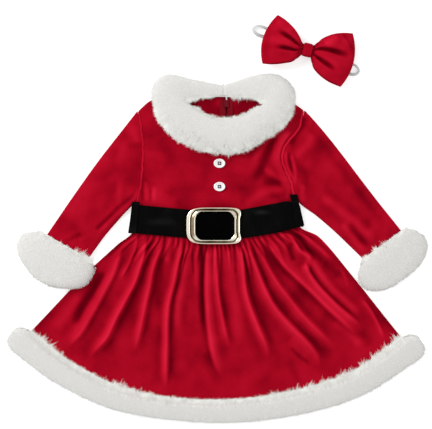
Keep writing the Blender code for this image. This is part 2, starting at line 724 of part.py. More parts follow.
def make_collar():
    def place(turn, share):
        row = read(COLLAR, share * COLLAR[-1].section)
        angle = 2 * pi * turn
        across = 0.5 + 0.5 * power(cos(angle), 0.85)
        rise = 0.5 + 0.5 * power(sin(angle), 0.75)
        x = row.inner_x + (row.outer_x - row.inner_x) * across
        y = row.inner_y + (row.outer_y - row.inner_y) * across
        low = collar_low(x, y)
        return x, y, low + (row.height - low) * rise
    roll("collar", 11, 31, place, ("Fur", FUR, 0.95), capped=True)


def hem_frame(share):
    """A point of the hem seam and the way out of the skirt there."""
    x, y = edge_point(HEM_EDGE, share)
    ahead = edge_point(HEM_EDGE, min(share + 0.01, 1.0))
    behind = edge_point(HEM_EDGE, max(share - 0.01, 0.0))
    run = Vector((ahead[0] - behind[0], ahead[1] - behind[1])).normalized()
    return Vector((x, y)), run, Vector((run.y, -run.x))


def hem_band(name, around, along, low, height, seam_z, material):
    """One side of the hem's fur, whose inner edge meets the cloth at the height of the seam."""
    ends = 0.07

    def place(turn, v):
        way = -ends + (1 + 2 * ends) * v
        share = min(max(way, 0.0), 1.0)
        past = (way - share) / ends
        seam, run, out = hem_frame(share)
        width = read(HEM_BAND, share).width
        shrink = sqrt(max(1 - (abs(past) * 0.97) ** 2, 0.0))
        angle = 2 * pi * turn
        across = 0.5 + 0.5 * power(cos(angle), 0.8) * (0.25 + 0.75 * shrink)
        point = seam + out * (HEM_SEAM + across * width) + run * past * HEM_END_LENGTH
        middle = low + height / 2
        z = middle + (height / 2) * power(sin(angle), 0.75) * (0.35 + 0.65 * shrink)
        z += (seam_z - middle) * ease(-0.5, -1.0, cos(angle))
        return point.x, point.y, min(max(z, low), low + height)
    roll(name, around, along, place, material, capped=True)


def make_hem():
    fur = ("Fur", FUR, 0.95)
    back_seam = HEM_CLOTH_LIFT + CLOTH / 2
    front_seam = back_seam + CLOTH + LAYER_GAP + 0.0002
    hem_band("hem_front", 10, 36, HEM_BACK_FUR + GAP, HEM_FRONT_FUR, front_seam, fur)
    hem_band("hem_back", 8, 26, 0.0, HEM_BACK_FUR, back_seam, fur)


def belt_top(x):
    """Outside of the belt's front: it climbs over the buckle's bar and under its side rails."""
    over_bar = 0.0024 * (1 - ease(0.004, 0.020, abs(x - BUCKLE_X)))
    return BELT_INSIDE_TOP + BELT_THICK + over_bar


def make_belt():
    black = ("Black velvet", BLACK, 0.6)
    middle = (BELT_INSIDE_TOP + BELT_THICK) / 2

    def place(turn, v):
        angle = 2 * pi * turn
        up = 2 * v - 1
        right = BELT_RIGHT_END - BELT_END_SLANT * up
        left = BELT_LEFT_END + BELT_END_SLANT * up
        x = (right + left) / 2 + (right - left) / 2 * cos(angle)
        to_end = min(right - x, x - left)
        into_turn = max(1 - to_end / middle, 0.0)
        off_middle = sqrt(max(1 - into_turn ** 2, 0.0))
        front = sin(angle) > 0
        z = middle + (belt_top(x) - middle if front else -middle) * off_middle
        row = read(BELT_LINE, x)
        waisted = 0.0030 * (1 - ease(0.026, 0.040, abs(x - BUCKLE_X))) if front else 0.0
        return x, row.y + up * (row.half_width - waisted), z
    belt = roll("belt", 48, 3, place, black)
    thicken(belt, BELT_THICK, -1.0)


def make_belt_loops():
    black = ("Black velvet", BLACK, 0.6)
    for name, loop in BELT_LOOPS.items():
        def place(u, v, loop=loop):
            t = 1 - v
            x = loop.top_x + (loop.low_x - loop.top_x) * t + (u - 0.5) * BELT_LOOP_WIDTH
            y = loop.top_y + (loop.low_y - loop.top_y) * t
            row = read(BELT_LINE, loop.top_x)
            off = abs(y - row.y) - row.half_width
            over = BELT_INSIDE_TOP + BELT_THICK + GAP + 0.0002
            on_cloth = 2 * CLOTH + LAYER_GAP + GAP + BELT_THICK + 0.0020
            return x, y, over + (on_cloth - over) * ease(0.0008, 0.0065, off)
        sheet(name, 2, 12, place, BELT_LOOP_THICK, black)


def buckle_outline(half_x, half_y, angle, shift=0.0):
    return shift + half_x * power(cos(angle), 0.36), half_y * power(sin(angle), 0.36)


def make_buckle():
    gold = ("Pale gold", GOLD, 0.2, 1.0)

    def place(turn, around):
        angle = 2 * pi * turn
        index = int(round(around * len(BUCKLE_LIP))) % len(BUCKLE_LIP)
        lip = BUCKLE_LIP[index]
        out_x, out_y = buckle_outline(BUCKLE_HALF_X, BUCKLE_HALF_Y, angle)
        in_x, in_y = buckle_outline(BUCKLE_HOLE_HALF_X, BUCKLE_HOLE_HALF_Y, angle, BUCKLE_HOLE_SHIFT)
        x = BUCKLE_X + out_x + (in_x - out_x) * lip.across
        y = BUCKLE_Y + out_y + (in_y - out_y) * lip.across
        return x, y, BUCKLE_Z + BUCKLE_HEIGHT * lip.height
    buckle = roll("buckle", 32, len(BUCKLE_LIP), place, gold)
    lug_y = (BUCKLE_HOLE_HALF_Y + BUCKLE_HALF_Y) / 2
    low = BELT_INSIDE_TOP
    bar = box("buckle_bar", (BUCKLE_X, BUCKLE_Y, low + BUCKLE_BAR_THICK / 2),
              (BUCKLE_BAR_WIDTH, 2 * lug_y + 0.002, BUCKLE_BAR_THICK))
    add(buckle, bar)
    for way in (-1, 1):
        lug = box("buckle_lug", (BUCKLE_X, BUCKLE_Y + way * lug_y, low + 0.0018),
                  (BUCKLE_BAR_WIDTH - 0.0004, 0.0024, 0.0035))
        add(buckle, lug)


def box(name, centre, size):
    bpy.ops.mesh.primitive_cube_add(size=1.0, location=centre)
    obj = bpy.context.object
    obj.name = name
    obj.scale = size
    bpy.ops.object.transform_apply(location=False, rotation=False, scale=True)
    return obj


def rod(name, centre, radius, length, turn=(0.0, 0.0, 0.0), sides=12):
    bpy.ops.mesh.primitive_cylinder_add(
        vertices=sides, radius=radius, depth=length, location=centre, rotation=turn)
    obj = bpy.context.object
    obj.name = name
    return obj


def combine(obj, other, operation):
    other.hide_render = True
    other.display_type = "WIRE"
    put_in(other, cutters)
    boolean = obj.modifiers.new(operation.title(), "BOOLEAN")
    boolean.operation = operation
    boolean.solver = "EXACT"
    boolean.object = other


def add(obj, other):
    combine(obj, other, "UNION")


def cut(obj, other):
    combine(obj, other, "DIFFERENCE")


def make_buttons():
    pearl = ("Button", PEARL, 0.35)
    rows = len(BUTTON_PROFILE) - 1
    for name, button_y in BUTTON_YS.items():
        under = max(
            bodice_front_low(BUTTON_X + dx, button_y + dy, bodice_share(BUTTON_X + dx))
            for dx in (-BUTTON_HALF_X, 0.0, BUTTON_HALF_X)
            for dy in (-BUTTON_HALF_Y, 0.0, BUTTON_HALF_Y)
        )
        centre = Vector((BUTTON_X, button_y, under + CLOTH + GAP + 0.0001))

        def place(turn, v, centre=centre):
            row = BUTTON_PROFILE[round(v * rows)]
            angle = 2 * pi * turn
            x = centre.x + BUTTON_HALF_X * row.radius * cos(angle)
            y = centre.y + BUTTON_HALF_Y * row.radius * sin(angle)
            return x, y, centre.z + row.height
        button = roll(name, 18, rows, place, pearl)
        for hole_x in (-1, 1):
            for hole_y in (-1, 1):
                hole = centre + Vector((hole_x, hole_y, 0.0)) * BUTTON_HOLE_STEP
                cut(button, rod("button_hole", hole, BUTTON_HOLE_RADIUS, 0.02, sides=6))


def make_zip():
    tape = ("Zip tape", RED_NYLON, 0.7)
    for name, way in (("zip_tape_left", -1), ("zip_tape_right", 1)):
        def place(u, v, way=way):
            y = ZIP_BOTTOM_Y + (ZIP_TOP_Y - ZIP_BOTTOM_Y) * v
            inner = ZIP_X + way * (GAP + zip_opening(y))
            x = inner + way * (ZIP_TAPE_WIDTH - zip_opening(y)) * u
            return x, y, back_low(x, y) + CLOTH + GAP
        sheet(name, 2, 10, place, ZIP_TAPE_THICK, tape)
    metal = ("Zip slider", RED_METAL, 0.35, 0.6)
    along_x = (0.0, pi / 2, 0.0)
    cloth_low = back_low(ZIP_X, SLIDER_Y)
    top = cloth_low + CLOTH + GAP + ZIP_TAPE_THICK + GAP + 0.0001
    plate_z = cloth_low - GAP - 0.0007
    slider = box("zip_slider", (ZIP_X, SLIDER_Y, top + 0.0009), (0.0070, 0.0104, 0.0018))
    rename(slider, "zip_slider")
    bevel = slider.modifiers.new("Rounded", "BEVEL")
    bevel.width = 0.0005
    bevel.segments = 2
    finish_solid(slider, metal)
    neck_z = (top + plate_z) / 2
    neck_height = top - plate_z + 0.0008
    add(slider, box("slider_neck", (ZIP_X, SLIDER_Y, neck_z), (0.0016, 0.0040, neck_height)))
    add(slider, box("slider_plate", (ZIP_X, SLIDER_Y - 0.0005, plate_z), (0.0062, 0.0072, 0.0010)))
    for way in (-1, 1):
        lug_at = PULL_PIVOT + Vector((way * 0.0025, 0.0, 0.0008))
        add(slider, box("slider_lug", lug_at, (0.0010, 0.0022, 0.0028)))
    add(slider, rod("slider_pin", PULL_PIVOT, 0.0005, 0.0050, along_x))
    pull = rod("zip_pull", PULL_PIVOT, 0.0013, 0.0034, along_x)
    rename(pull, "zip_pull")
    finish_solid(pull, metal)
    tab_at = PULL_PIVOT + Vector((0.0, -0.0115, 0.0))
    add(pull, box("pull_tab", tab_at, (0.0034, 0.0210, 0.0011)))
    cut(pull, rod("pull_eye", PULL_PIVOT, 0.0008, 0.0100, along_x))


def bow_to_world(a, b, z):
    x = BOW_X + a * cos(BOW_TURN) - b * sin(BOW_TURN)
    y = BOW_Y + a * sin(BOW_TURN) + b * cos(BOW_TURN)
    return x, y, z


def wing_place(table, pleats, way):
    """A wing is one strip: out over the top, round its end and back underneath."""
    def place(u, v):
        along = 2 * v - 1
        reach = 1 - abs(along) ** 1.25
        across = 2 * u - 1
        row = read(table, reach)
        part = (1 - across) / 2
        a = row.top_a + (row.low_a - row.top_a) * part + row.bulge * (1 - across * across)
        b = row.top_b + (row.low_b - row.top_b) * part
        layer = 0 if abs(along) < 1e-6 else 1 if along > 0 else -1
        open_half = row.height / 2 * sqrt(max(1 - reach ** 5, 0.0)) * (1 - 0.28 * across ** 4)
        z = row.middle + layer * open_half
        if layer > 0:
            for pleat in pleats:
                line = pleat.near + (pleat.far - pleat.near) * reach
                away = min(abs(across - line) / pleat.width, 1.0)
                fade = ease(0.10, 0.35, reach) * (1 - ease(pleat.reach * 0.6, pleat.reach, reach))
                z -= pleat.depth * (1 - away) ** 2 * (1 + 2 * away) * fade
        return bow_to_world(way * a, b, z)
    return place


def make_bow():
    velvet = ("Velvet", VELVET, 0.75)
    for name, table, pleats, way in (
        ("bow_wing_left", WING_LEFT, PLEATS_LEFT, -1),
        ("bow_wing_right", WING_RIGHT, PLEATS_RIGHT, 1),
    ):
        obj = map_grid(name, 11, 16, wing_place(table, pleats, way))
        mesh = bmesh.new()
        mesh.from_mesh(obj.data)
        bmesh.ops.recalc_face_normals(mesh, faces=mesh.faces)
        mesh.normal_update()
        upper = max(mesh.faces, key=lambda face: face.calc_center_median().z)
        if upper.normal.z < 0:
            bmesh.ops.reverse_faces(mesh, faces=mesh.faces)
        mesh.to_mesh(obj.data)
        mesh.free()
        thicken(obj, CLOTH, -1.0)
        finish_solid(obj, velvet)

    def knot(turn, v):
        angle = 2 * pi * turn
        waist_in = 0.0006 * (1 - (2 * v - 1) ** 2)
        b = (0.0092 - waist_in) * power(cos(angle), 0.5)
        z = 0.0087 + (0.0087 - waist_in * 0.5) * power(sin(angle), 0.5)
        return bow_to_world((2 * v - 1) * 0.0065, b, max(z, 0.0))
    thicken(roll("bow_knot", 20, 2, knot, velvet), 0.0016, -1.0)


def ribbon_row(turn):
    """The ribbon's row at a turn of its closed ring, on a smooth curve through the table."""
    count = len(RIBBON)
    position = turn * count
    i = int(position) % count
    t = position - int(position)
    rows = [RIBBON[(i + k) % count] for k in (-1, 0, 1, 2)]
    values = []
    for before, low, high, after in zip(*rows):
        values.append(
            0.5 * (2 * low + (high - before) * t
                   + (2 * before - 5 * low + 4 * high - after) * t * t
                   + (3 * low - before - 3 * high + after) * t ** 3)
        )
    return RibbonRow(*values)


def make_headband():
    def place(turn, v):
        row = ribbon_row(turn % 1.0)
        ahead = ribbon_row((turn + 0.004) % 1.0)
        run = Vector((ahead.a - row.a, ahead.b - row.b)).normalized()
        out = Vector((-run.y, run.x))
        tilt = RIBBON_ON_EDGE * min(max(row.stand, 0.0), 1.0)
        side_step = (0.5 - v) * RIBBON_WIDTH * cos(tilt)
        z = max(row.lift, 0.0) + RIBBON_THICK * 0.5 + 0.0002 + (1 - v) * RIBBON_WIDTH * sin(tilt) * 0.9
        return bow_to_world(row.a - out.x * side_step, row.b - out.y * side_step, z)
    ribbon = roll("headband", 50, 1, place, ("Elastic", WHITE_ELASTIC, 0.8))
    thicken(ribbon, RIBBON_THICK, 0.0)


for leftover in list(bpy.data.objects):
    bpy.data.objects.remove(leftover)
parts = new_collection("Santa dress set")
cutters = new_collection("Cutters")
make_bodice()
make_skirt()
make_sleeves()
make_cuffs()
make_collar()
make_hem()
make_belt()
make_belt_loops()
make_buckle()
make_buttons()
make_zip()
make_bow()
make_headband()
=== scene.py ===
# %% [markdown]
# # A toddler's Santa dress with its belt and its bow headband, laid flat
#
# The set lies on a pale surface and is seen from straight above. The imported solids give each
# piece its place and its size. This lesson dresses them: every soft piece is made again as a
# finer shell on the same lines, the fur is grown tuft by tuft, and the hard pieces get their
# rims and their finish.

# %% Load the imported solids
from collections import namedtuple
from math import cos, pi, radians, sin

import bpy
import numpy as np
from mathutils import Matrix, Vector


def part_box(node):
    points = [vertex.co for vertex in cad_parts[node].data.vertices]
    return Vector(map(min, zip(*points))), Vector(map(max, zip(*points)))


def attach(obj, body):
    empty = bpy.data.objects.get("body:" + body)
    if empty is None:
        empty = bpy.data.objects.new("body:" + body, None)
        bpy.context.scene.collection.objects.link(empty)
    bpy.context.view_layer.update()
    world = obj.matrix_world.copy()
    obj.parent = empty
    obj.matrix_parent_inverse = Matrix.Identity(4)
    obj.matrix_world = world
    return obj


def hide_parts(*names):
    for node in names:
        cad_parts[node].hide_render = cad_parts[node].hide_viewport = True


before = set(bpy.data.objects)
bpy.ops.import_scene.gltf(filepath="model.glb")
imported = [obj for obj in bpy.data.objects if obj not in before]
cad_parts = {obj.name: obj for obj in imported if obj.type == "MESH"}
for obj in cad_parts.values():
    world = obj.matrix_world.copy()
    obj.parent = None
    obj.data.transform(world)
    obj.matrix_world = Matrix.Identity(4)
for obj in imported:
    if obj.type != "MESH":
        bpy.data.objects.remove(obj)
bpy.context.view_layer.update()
scene = bpy.context.scene
print("solids:", len(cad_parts))

# %% [markdown]
# ## Sizes of the pattern pieces
#
# A dress is drawn by its pattern pieces. Each edge, fold and section is a row of a short table
# with named columns, and these are the same rows that the solids were built from. The tables are
# written in millimetres and kept in metres. A smooth curve through the rows gives every point
# between them, so a shell can be as fine as the light needs while it stays on its solid.

# %% Driving sizes
CLOTH = 0.0014
GAP = 0.0003
SEAM = 0.0007
LAYER_GAP = 0.00035
CLEARANCE = 0.0002
WAIST_HALF = 0.1155
BODICE_START, BODICE_WIDTH = -0.113, 0.230
BELT_THICK = 0.0016
BELT_INSIDE_TOP = 0.0069
HEM_BACK_FUR, HEM_FRONT_FUR = 0.0060, 0.0120
HEM_CLOTH_LIFT = 0.0045
COLLAR_BACK_LIFT = 0.0050
ZIP_X = 0.0146
ZIP_BOTTOM_Y, ZIP_TOP_Y = 0.022, 0.1625
BUCKLE_X, BUCKLE_Y = -0.0028, -0.0157


def table(name, columns, units, *rows):
    """Rows with named columns; units has m for millimetres, c for hundredths, 1 for as it is."""
    kind = namedtuple(name, columns)
    return tuple(kind(*(value / {"m": 1000, "c": 100, "1": 1}[unit]
                        for value, unit in zip(row, units))) for row in rows)


print("waist seam:", 2000 * WAIST_HALF, "mm wide")

# %% Edges of the panels
# The belt's centre line, which is also the waist seam
BELT_LINE = table(
    "BeltRow", "x y half_width", "mmm",
    (-122, -5.5, 20), (-41, -12.8, 20), (-2.8, -15.7, 20), (36, -13.1, 20.2), (83, -5.2, 20.8),
    (101, -1.5, 20), (113, -2.2, 16), (123, -2.8, 12.5),
)
# Edges of the panels: share is the way along the edge
EDGE = "EdgeRow", "share x y", "1mm"
HEM_EDGE = table(
    *EDGE,
    (0, -257, -162), (0.103, -204, -204), (0.258, -124, -243), (0.456, -22, -258),
    (0.656, 81, -251), (0.858, 185, -221), (1, 258, -171),
)
SKIRT_LEFT = table(
    *EDGE,
    (0, -115.5, -5.9), (0.11, -117.5, -26), (0.22, -137, -41.5), (0.55, -188, -89),
    (1, -257, -162),
)
SKIRT_RIGHT = table(
    *EDGE,
    (0, 115.5, -2.4), (0.08, 118, -18), (0.22, 144, -31.5), (0.52, 189, -84), (1, 258, -171),
)
BODICE_LEFT = table(
    *EDGE,
    (0, -115.5, -5.3), (0.2, -107.8, 27), (0.34, -104.2, 48), (0.64, -101.8, 92),
    (0.86, -105, 125), (1, -108, 145),
)
BODICE_RIGHT = table(
    *EDGE,
    (0, 115.5, -1.7), (0.2, 108.2, 30), (0.31, 104.5, 46), (0.46, 95, 67), (0.57, 92.5, 83),
    (0.69, 99.5, 100), (0.82, 115, 119), (1, 122, 146),
)
# Neck and shoulder line of the two bodice layers
NECK_LINE = table(
    "NeckRow", "x front_y back_y", "mmm",
    (-108, 145, 145), (-92, 158.5, 158.5), (-65, 164, 165), (-40, 156, 165.5), (-15, 135, 164.5),
    (12, 127, 164), (40, 135, 164), (66, 156, 164), (92, 160, 161), (109, 154.5, 154.5),
    (122, 146, 146),
)
print("rows:", len(BELT_LINE), "for the belt and", len(HEM_EDGE), "for the hem")

# %% [markdown]
# ## Curves through the tables
#
# The curve is a cubic between each two rows whose slope comes from their neighbours, so it has no
# corners. Everything works on whole arrays of points at once, because a shell has tens of
# thousands of them.

# %% Read the tables
def ease(start, end, value):
    """0 before start, 1 after end, and smooth between them."""
    t = np.clip((value - start) / (end - start), 0.0, 1.0)
    return t * t * (3.0 - 2.0 * t)


def inside(low, high, share):
    """1 in the middle of a share from 0 to 1, and smoothly 0 at both ends."""
    return ease(low, high, share) * ease(low, high, 1 - share)


def bell(value, centre, width):
    return np.exp(-((value - centre) / width) ** 2)


def mix(start, end, share):
    return start + (end - start) * share


def power(value, exponent):
    """A power that keeps the sign, for squared-off ovals."""
    return np.abs(value) ** exponent * np.where(value >= 0.0, 1.0, -1.0)


def column(rows, name, at):
    """One column of a table at values of its first column, on a smooth curve."""
    keys = np.array([row[0] for row in rows], float)
    values = np.array([getattr(row, name) for row in rows], float)
    at = np.clip(np.asarray(at, float), keys[0], keys[-1])
    i = np.clip(np.searchsorted(keys, at) - 1, 0, len(keys) - 2)
    before, after = np.maximum(i - 1, 0), np.minimum(i + 2, len(keys) - 1)
    step = keys[i + 1] - keys[i]
    t = (at - keys[i]) / step
    slope_low = (values[i + 1] - values[before]) / (keys[i + 1] - keys[before]) * step
    slope_high = (values[after] - values[i]) / (keys[after] - keys[i]) * step
    return (values[i] * (1 + 2 * t) * (1 - t) ** 2 + slope_low * t * (1 - t) ** 2
            + values[i + 1] * t * t * (3 - 2 * t) + slope_high * t * t * (t - 1))


def section(rows, at):
    """All the columns of a table at once, as one row of arrays."""
    kind = type(rows[0])
    return kind(at, *(column(rows, name, at) for name in kind._fields[1:]))


def side(rows):
    return lambda share: np.array([column(rows, "x", share), column(rows, "y", share)])


def belt_y(x):
    return column(BELT_LINE, "y", x)


def waist(way):
    """The waist seam; way is +1 for the bodice and -1 for the skirt."""
    def edge(share):
        x = WAIST_HALF * (2 * share - 1)
        return np.array([x, belt_y(x) + way * GAP / 2])
    return edge


def neck(name):
    def edge(share):
        x = mix(NECK_LINE[0].x, NECK_LINE[-1].x, share)
        return np.array([x, column(NECK_LINE, name, x)])
    return edge


def patch(low, high, left, right, u, v):
    """Points of the panel that four edge curves bound; u runs across it and v up it."""
    ends = np.array([0.0, 1.0])
    low_ends, high_ends = low(ends), high(ends)
    corners = ((1 - u) * (1 - v) * low_ends[:, :1] + u * (1 - v) * low_ends[:, 1:]
               + (1 - u) * v * high_ends[:, :1] + u * v * high_ends[:, 1:])
    return (1 - v) * low(u) + v * high(u) + (1 - u) * left(v) + u * right(v) - corners


def bodice_point(name, u, v):
    return patch(waist(1), neck(name), side(BODICE_LEFT), side(BODICE_RIGHT), u, v)


def skirt_point(u, drop):
    return patch(waist(-1), side(HEM_EDGE), side(SKIRT_LEFT), side(SKIRT_RIGHT), u, drop)


def bodice_share(x):
    return np.clip((x - BODICE_START) / BODICE_WIDTH, 0.0, 1.0)


def zip_opening(y):
    return 0.0011 * ease(0.142, 0.150, y)


print("belt under the buckle at", round(1000 * float(belt_y(BUCKLE_X)), 1), "mm")

# %% [markdown]
# ## Folds and creases
#
# Laid-out velvet keeps the folds that its gathers start. Each is drawn as a path of
# x, y pairs in millimetres. A fold has a steep side, +1 for its right and -1 for its left; height
# is how far it rises, light is a painted highlight along its crest and dark a painted shade at its
# steep foot, and soft and foot are how wide these are. A ridge is the same on both sides, and is a
# dip where its height is negative; its light is a painted highlight, or painted shade where it is
# negative. This painted light stands in for the light and shade that the folds take.

# %% Folds of the panels
Fold = namedtuple("Fold", "steep height light dark soft foot path")


def fold(steep, height, light, dark, soft, foot, *path):
    return Fold(steep, height / 1000, light, dark, soft / 1000, foot / 1000,
                np.reshape(path, (-1, 2)) / 1000)


def ridge(height, light, soft, *path):
    return fold(0, height, light, 0, soft, 0, *path)


SKIRT_FOLDS = (
    fold(1, 4, 0.75, 0.3, 8, 6, -132, -48, -137, -66, -143, -84, -155, -106, -166, -127, -174, -141,
         -183, -157, -190, -168, -200, -178, -212, -188),
    ridge(-1.6, -1, 6, -158, -78, -169, -102, -183, -121, -193, -139, -201, -158),
    ridge(0.6, 0.35, 7, -192, -112, -213, -142, -225, -165),
    fold(1, 1.6, 0.75, 0.85, 4, 3.2, -110, -28, -111, -45, -116, -57, -121, -69, -129, -83, -134,
         -94),
    fold(1, 6, 1, 1.15, 7, 9, -96, -30, -99, -45, -101, -60, -106, -75, -110, -88, -115, -100, -124,
         -116, -131, -130, -137, -140, -144, -155, -149, -167, -155, -176, -165, -186, -173, -194,
         -179, -206),
    fold(1, 5, 0.95, 0.75, 6, 8, -71, -32, -73, -40, -80, -55, -86, -70, -89, -81, -92, -100, -97,
         -120, -101, -140, -105, -160, -110, -180, -116, -196),
    ridge(1.2, 0.75, 4.5, -65, -30, -67, -51, -69, -70),
    ridge(-0.6, -0.45, 5, -78, -58, -76, -85, -80, -110, -84, -140),
    fold(1, 7, 1, 1, 5, 4.5, -47, -36, -48, -50, -52, -65, -55, -80, -58, -95, -62, -109, -65, -121,
         -67, -135, -68, -155, -68, -175, -68.5, -195, -69, -215, -69.5, -232, -70, -250),
    ridge(2, 0.6, 5.5, -37, -38, -39, -55, -42, -69, -45, -83, -48, -99, -51, -115, -53, -131, -54,
         -152, -54, -172),
    ridge(0.6, 0.4, 3, -28, -40, -28, -75, -27, -108),
    ridge(-0.6, -0.5, 2, -34, -40, -33, -60, -31, -88),
    ridge(-1.4, -0.95, 4, -19, -42, -18, -65, -19, -90, -20, -115, -19, -140, -16, -168),
    fold(-1, 5.5, 0.95, 0.6, 8, 5, -13, -42, -13.5, -65, -14, -85, -14, -105, -13, -125, -12, -143,
         -10, -163, -7, -185, -3, -201, 2, -215, 9, -228),
    fold(1, 3.5, 0.85, 1, 8, 7, 0, -42, 1, -60, 1.5, -85, 2.5, -105, 5, -123, 9, -143, 13, -163, 17,
         -177, 20, -190),
    ridge(-0.4, -0.28, 6, -18, -192, -8, -214, 6, -236),
    ridge(1.4, 0.45, 9, 11, -44, 15, -62, 22, -85, 27, -110, 29, -140, 32, -172, 34, -196),
    ridge(-0.5, -0.6, 1.8, 17.5, -40, 18, -52),
    ridge(-0.5, -0.6, 2.2, 26, -40, 27, -60, 28, -88),
    fold(1, 6.5, 1, 1.15, 6, 9, 34, -40, 35.5, -50, 37.5, -67, 39.5, -87, 41, -103, 45, -119, 50.5,
         -135, 56, -149, 62, -163, 68, -176, 72, -188, 74, -204),
    fold(1, 6.5, 1, 1.1, 8, 7.5, 43, -36, 47, -49, 51.5, -61, 57, -75, 63, -91, 69, -105, 76, -119,
         84, -131, 92, -141, 101, -151, 111, -161, 122, -172, 133, -184, 141, -196, 144, -207, 141,
         -217),
    ridge(0.8, 0.4, 8, 104, -172, 118, -186, 132, -198),
    ridge(-0.5, -0.5, 2.6, 104, -186, 114, -196, 123, -203, 133, -210),
    ridge(-0.4, -0.35, 5, 101, -202, 108, -218, 119, -238),
    fold(1, 3.5, 0.75, 0.8, 8, 9, 55, -36, 60, -50, 66, -60, 75, -77, 87, -97, 100, -113, 112, -129,
         124, -143, 138, -157, 152, -171, 163, -182, 167, -192),
    fold(-1, 4, 0.85, 1, 10, 7, 71, -36, 80, -52, 90, -66, 101, -78, 115, -91, 130, -105, 143, -118,
         155, -130, 166, -140, 178, -151, 190, -162, 202, -174),
    fold(1, 4.5, 0.85, 1.1, 9, 5, 124, -66, 128, -78, 133, -87, 141, -98, 150, -108, 160, -118, 170,
         -128, 182, -138, 194, -148, 205, -158),
    ridge(1.6, 0.75, 4.5, 133, -62, 141, -77, 151, -91, 161, -103, 171, -113, 183, -123, 195, -135,
         204, -145),
    fold(1, 3, 0.95, 1.05, 4, 9, 88, -25, 99, -27, 107, -32, 112, -41, 117, -50, 125, -54, 131, -58,
         133, -66),
    ridge(0.8, 0.6, 4, 130, -58, 129, -68, 124, -78),
    ridge(-0.9, -0.75, 4.5, 105, -38, 103, -52, 110, -67),
    ridge(-0.8, -0.8, 5, 108, -26, 118, -38, 128, -48, 142, -58, 158, -72),
    ridge(0.6, 0.8, 2.4, 112, -20, 124, -29, 137, -41, 149, -51, 162, -64),
    ridge(-0.6, -0.6, 7, 150, -67, 162, -77, 174, -88),
    ridge(0.4, 0.45, 2, 174, -75, 180, -86, 184, -102),
    fold(1, 2, 0.95, 0.6, 3.5, 4, 205, -119, 214, -129, 222, -143, 230, -159, 236, -176),
    ridge(-0.3, -0.25, 8, 204, -160, 216, -186),
    ridge(0.8, 0.4, 5, 164, -150, 185, -166, 206, -185),
)
BODICE_FOLDS = (
    ridge(0.3, 0.28, 15, -86, 90, -90, 55, -88, 22),
    ridge(0.5, 0.4, 8, -96, 26, -76, 19, -52, 13),
    ridge(0.7, 0.55, 2.6, -98, 46, -97, 30, -97, 17),
    ridge(-0.5, -0.6, 1.6, -91, 36, -92, 16),
    ridge(-0.4, -0.5, 1.5, -103, 34, -103, 17),
    ridge(0.5, 0.4, 2.5, -86, 38, -86, 16),
    ridge(-0.3, -0.25, 9, -80, 106, -66, 84, -60, 66),
    ridge(0.3, 0.3, 11, 20, 74, 38, 60, 32, 40),
    ridge(1, 0.4, 4.5, 82, 114, 68, 98, 58, 84, 50, 70),
    ridge(-1.2, -0.9, 6.5, 85, 110, 77, 96, 70, 80, 64, 66, 57, 54, 48, 44),
    ridge(0.9, 0.45, 4, 67, 65, 80, 56, 92, 49, 101, 44),
    ridge(-0.6, -0.4, 5, 64, 50, 80, 45, 95, 42),
    ridge(0.7, 0.45, 6, 40, 12, 58, 24, 72, 34, 88, 36, 99, 30),
    ridge(-0.4, -0.3, 4, 74, 27, 91, 24),
    fold(1, 3, 0.85, 0.7, 7, 3.6, 105, 116, 97, 106, 92, 98, 89, 88, 88, 78, 91, 67, 95, 58, 100,
         50, 104, 42, 105, 30),
    ridge(0.6, 0.4, 3, 101, 42, 101, 30, 98, 20),
)
BACK_FOLDS = (
    ridge(0.8, 0.45, 8, -72, 122, -60, 90, -50, 58),
    ridge(-0.5, -0.45, 5, -58, 122, -46, 92, -34, 62),
    ridge(0.8, 0.45, 8, 74, 120, 60, 88, 52, 56),
    ridge(-0.5, -0.45, 5, 60, 122, 46, 92, 38, 66),
    ridge(0.6, 0.4, 4, -90, 50, -86, 18),
    ridge(0.6, 0.4, 4, 86, 52, 82, 20),
    fold(1, 1.2, 0.8, 0.8, 7, 7, -84, -40, -98, -90, -124, -140, -140, -196),
    fold(1, 1.2, 0.85, 0.8, 7, 6, -42, -44, -52, -100, -60, -160, -62, -220),
    fold(-1, 1.2, 0.8, 0.7, 9, 7, -6, -46, -8, -110, -4, -170, 4, -226),
    fold(1, 1.2, 0.8, 0.8, 7, 7, 32, -44, 42, -100, 58, -160, 72, -214),
    fold(1, 1.2, 0.75, 0.8, 7, 7, 66, -40, 88, -90, 124, -140, 148, -196),
    ridge(1, 0.6, 8, 98, -36, 130, -84, 180, -140),
    ridge(1, 0.6, 8, -108, -42, -150, -96, -190, -150),
)


def rounded(points):
    """A path with its corners cut twice."""
    for _ in range(2):
        cut = np.stack([0.75 * points[:-1] + 0.25 * points[1:],
                        0.25 * points[:-1] + 0.75 * points[1:]], axis=1)
        points = np.vstack([points[:1], cut.reshape(-1, 2), points[-1:]])
    return points


def beside(path, x, y):
    """Distance from a path, positive on its right as the photo shows it, and the way along it."""
    points = rounded(path)
    steps = np.diff(points, axis=0)
    lengths = np.hypot(*steps.T)
    done = np.concatenate([[0.0], np.cumsum(lengths)])
    least, off, share = np.full(x.shape, 9.0), np.zeros_like(x), np.zeros_like(x)
    for start, step, length, before in zip(points, steps, lengths, done):
        dx, dy = x - start[0], y - start[1]
        t = np.clip((dx * step[0] + dy * step[1]) / length ** 2, 0.0, 1.0)
        gap = np.hypot(dx - t * step[0], dy - t * step[1])
        nearer = gap < least
        least = np.where(nearer, gap, least)
        off = np.where(nearer, gap * np.sign(step[0] * dy - step[1] * dx), off)
        share = np.where(nearer, (before + t * length) / done[-1], share)
    return off, share


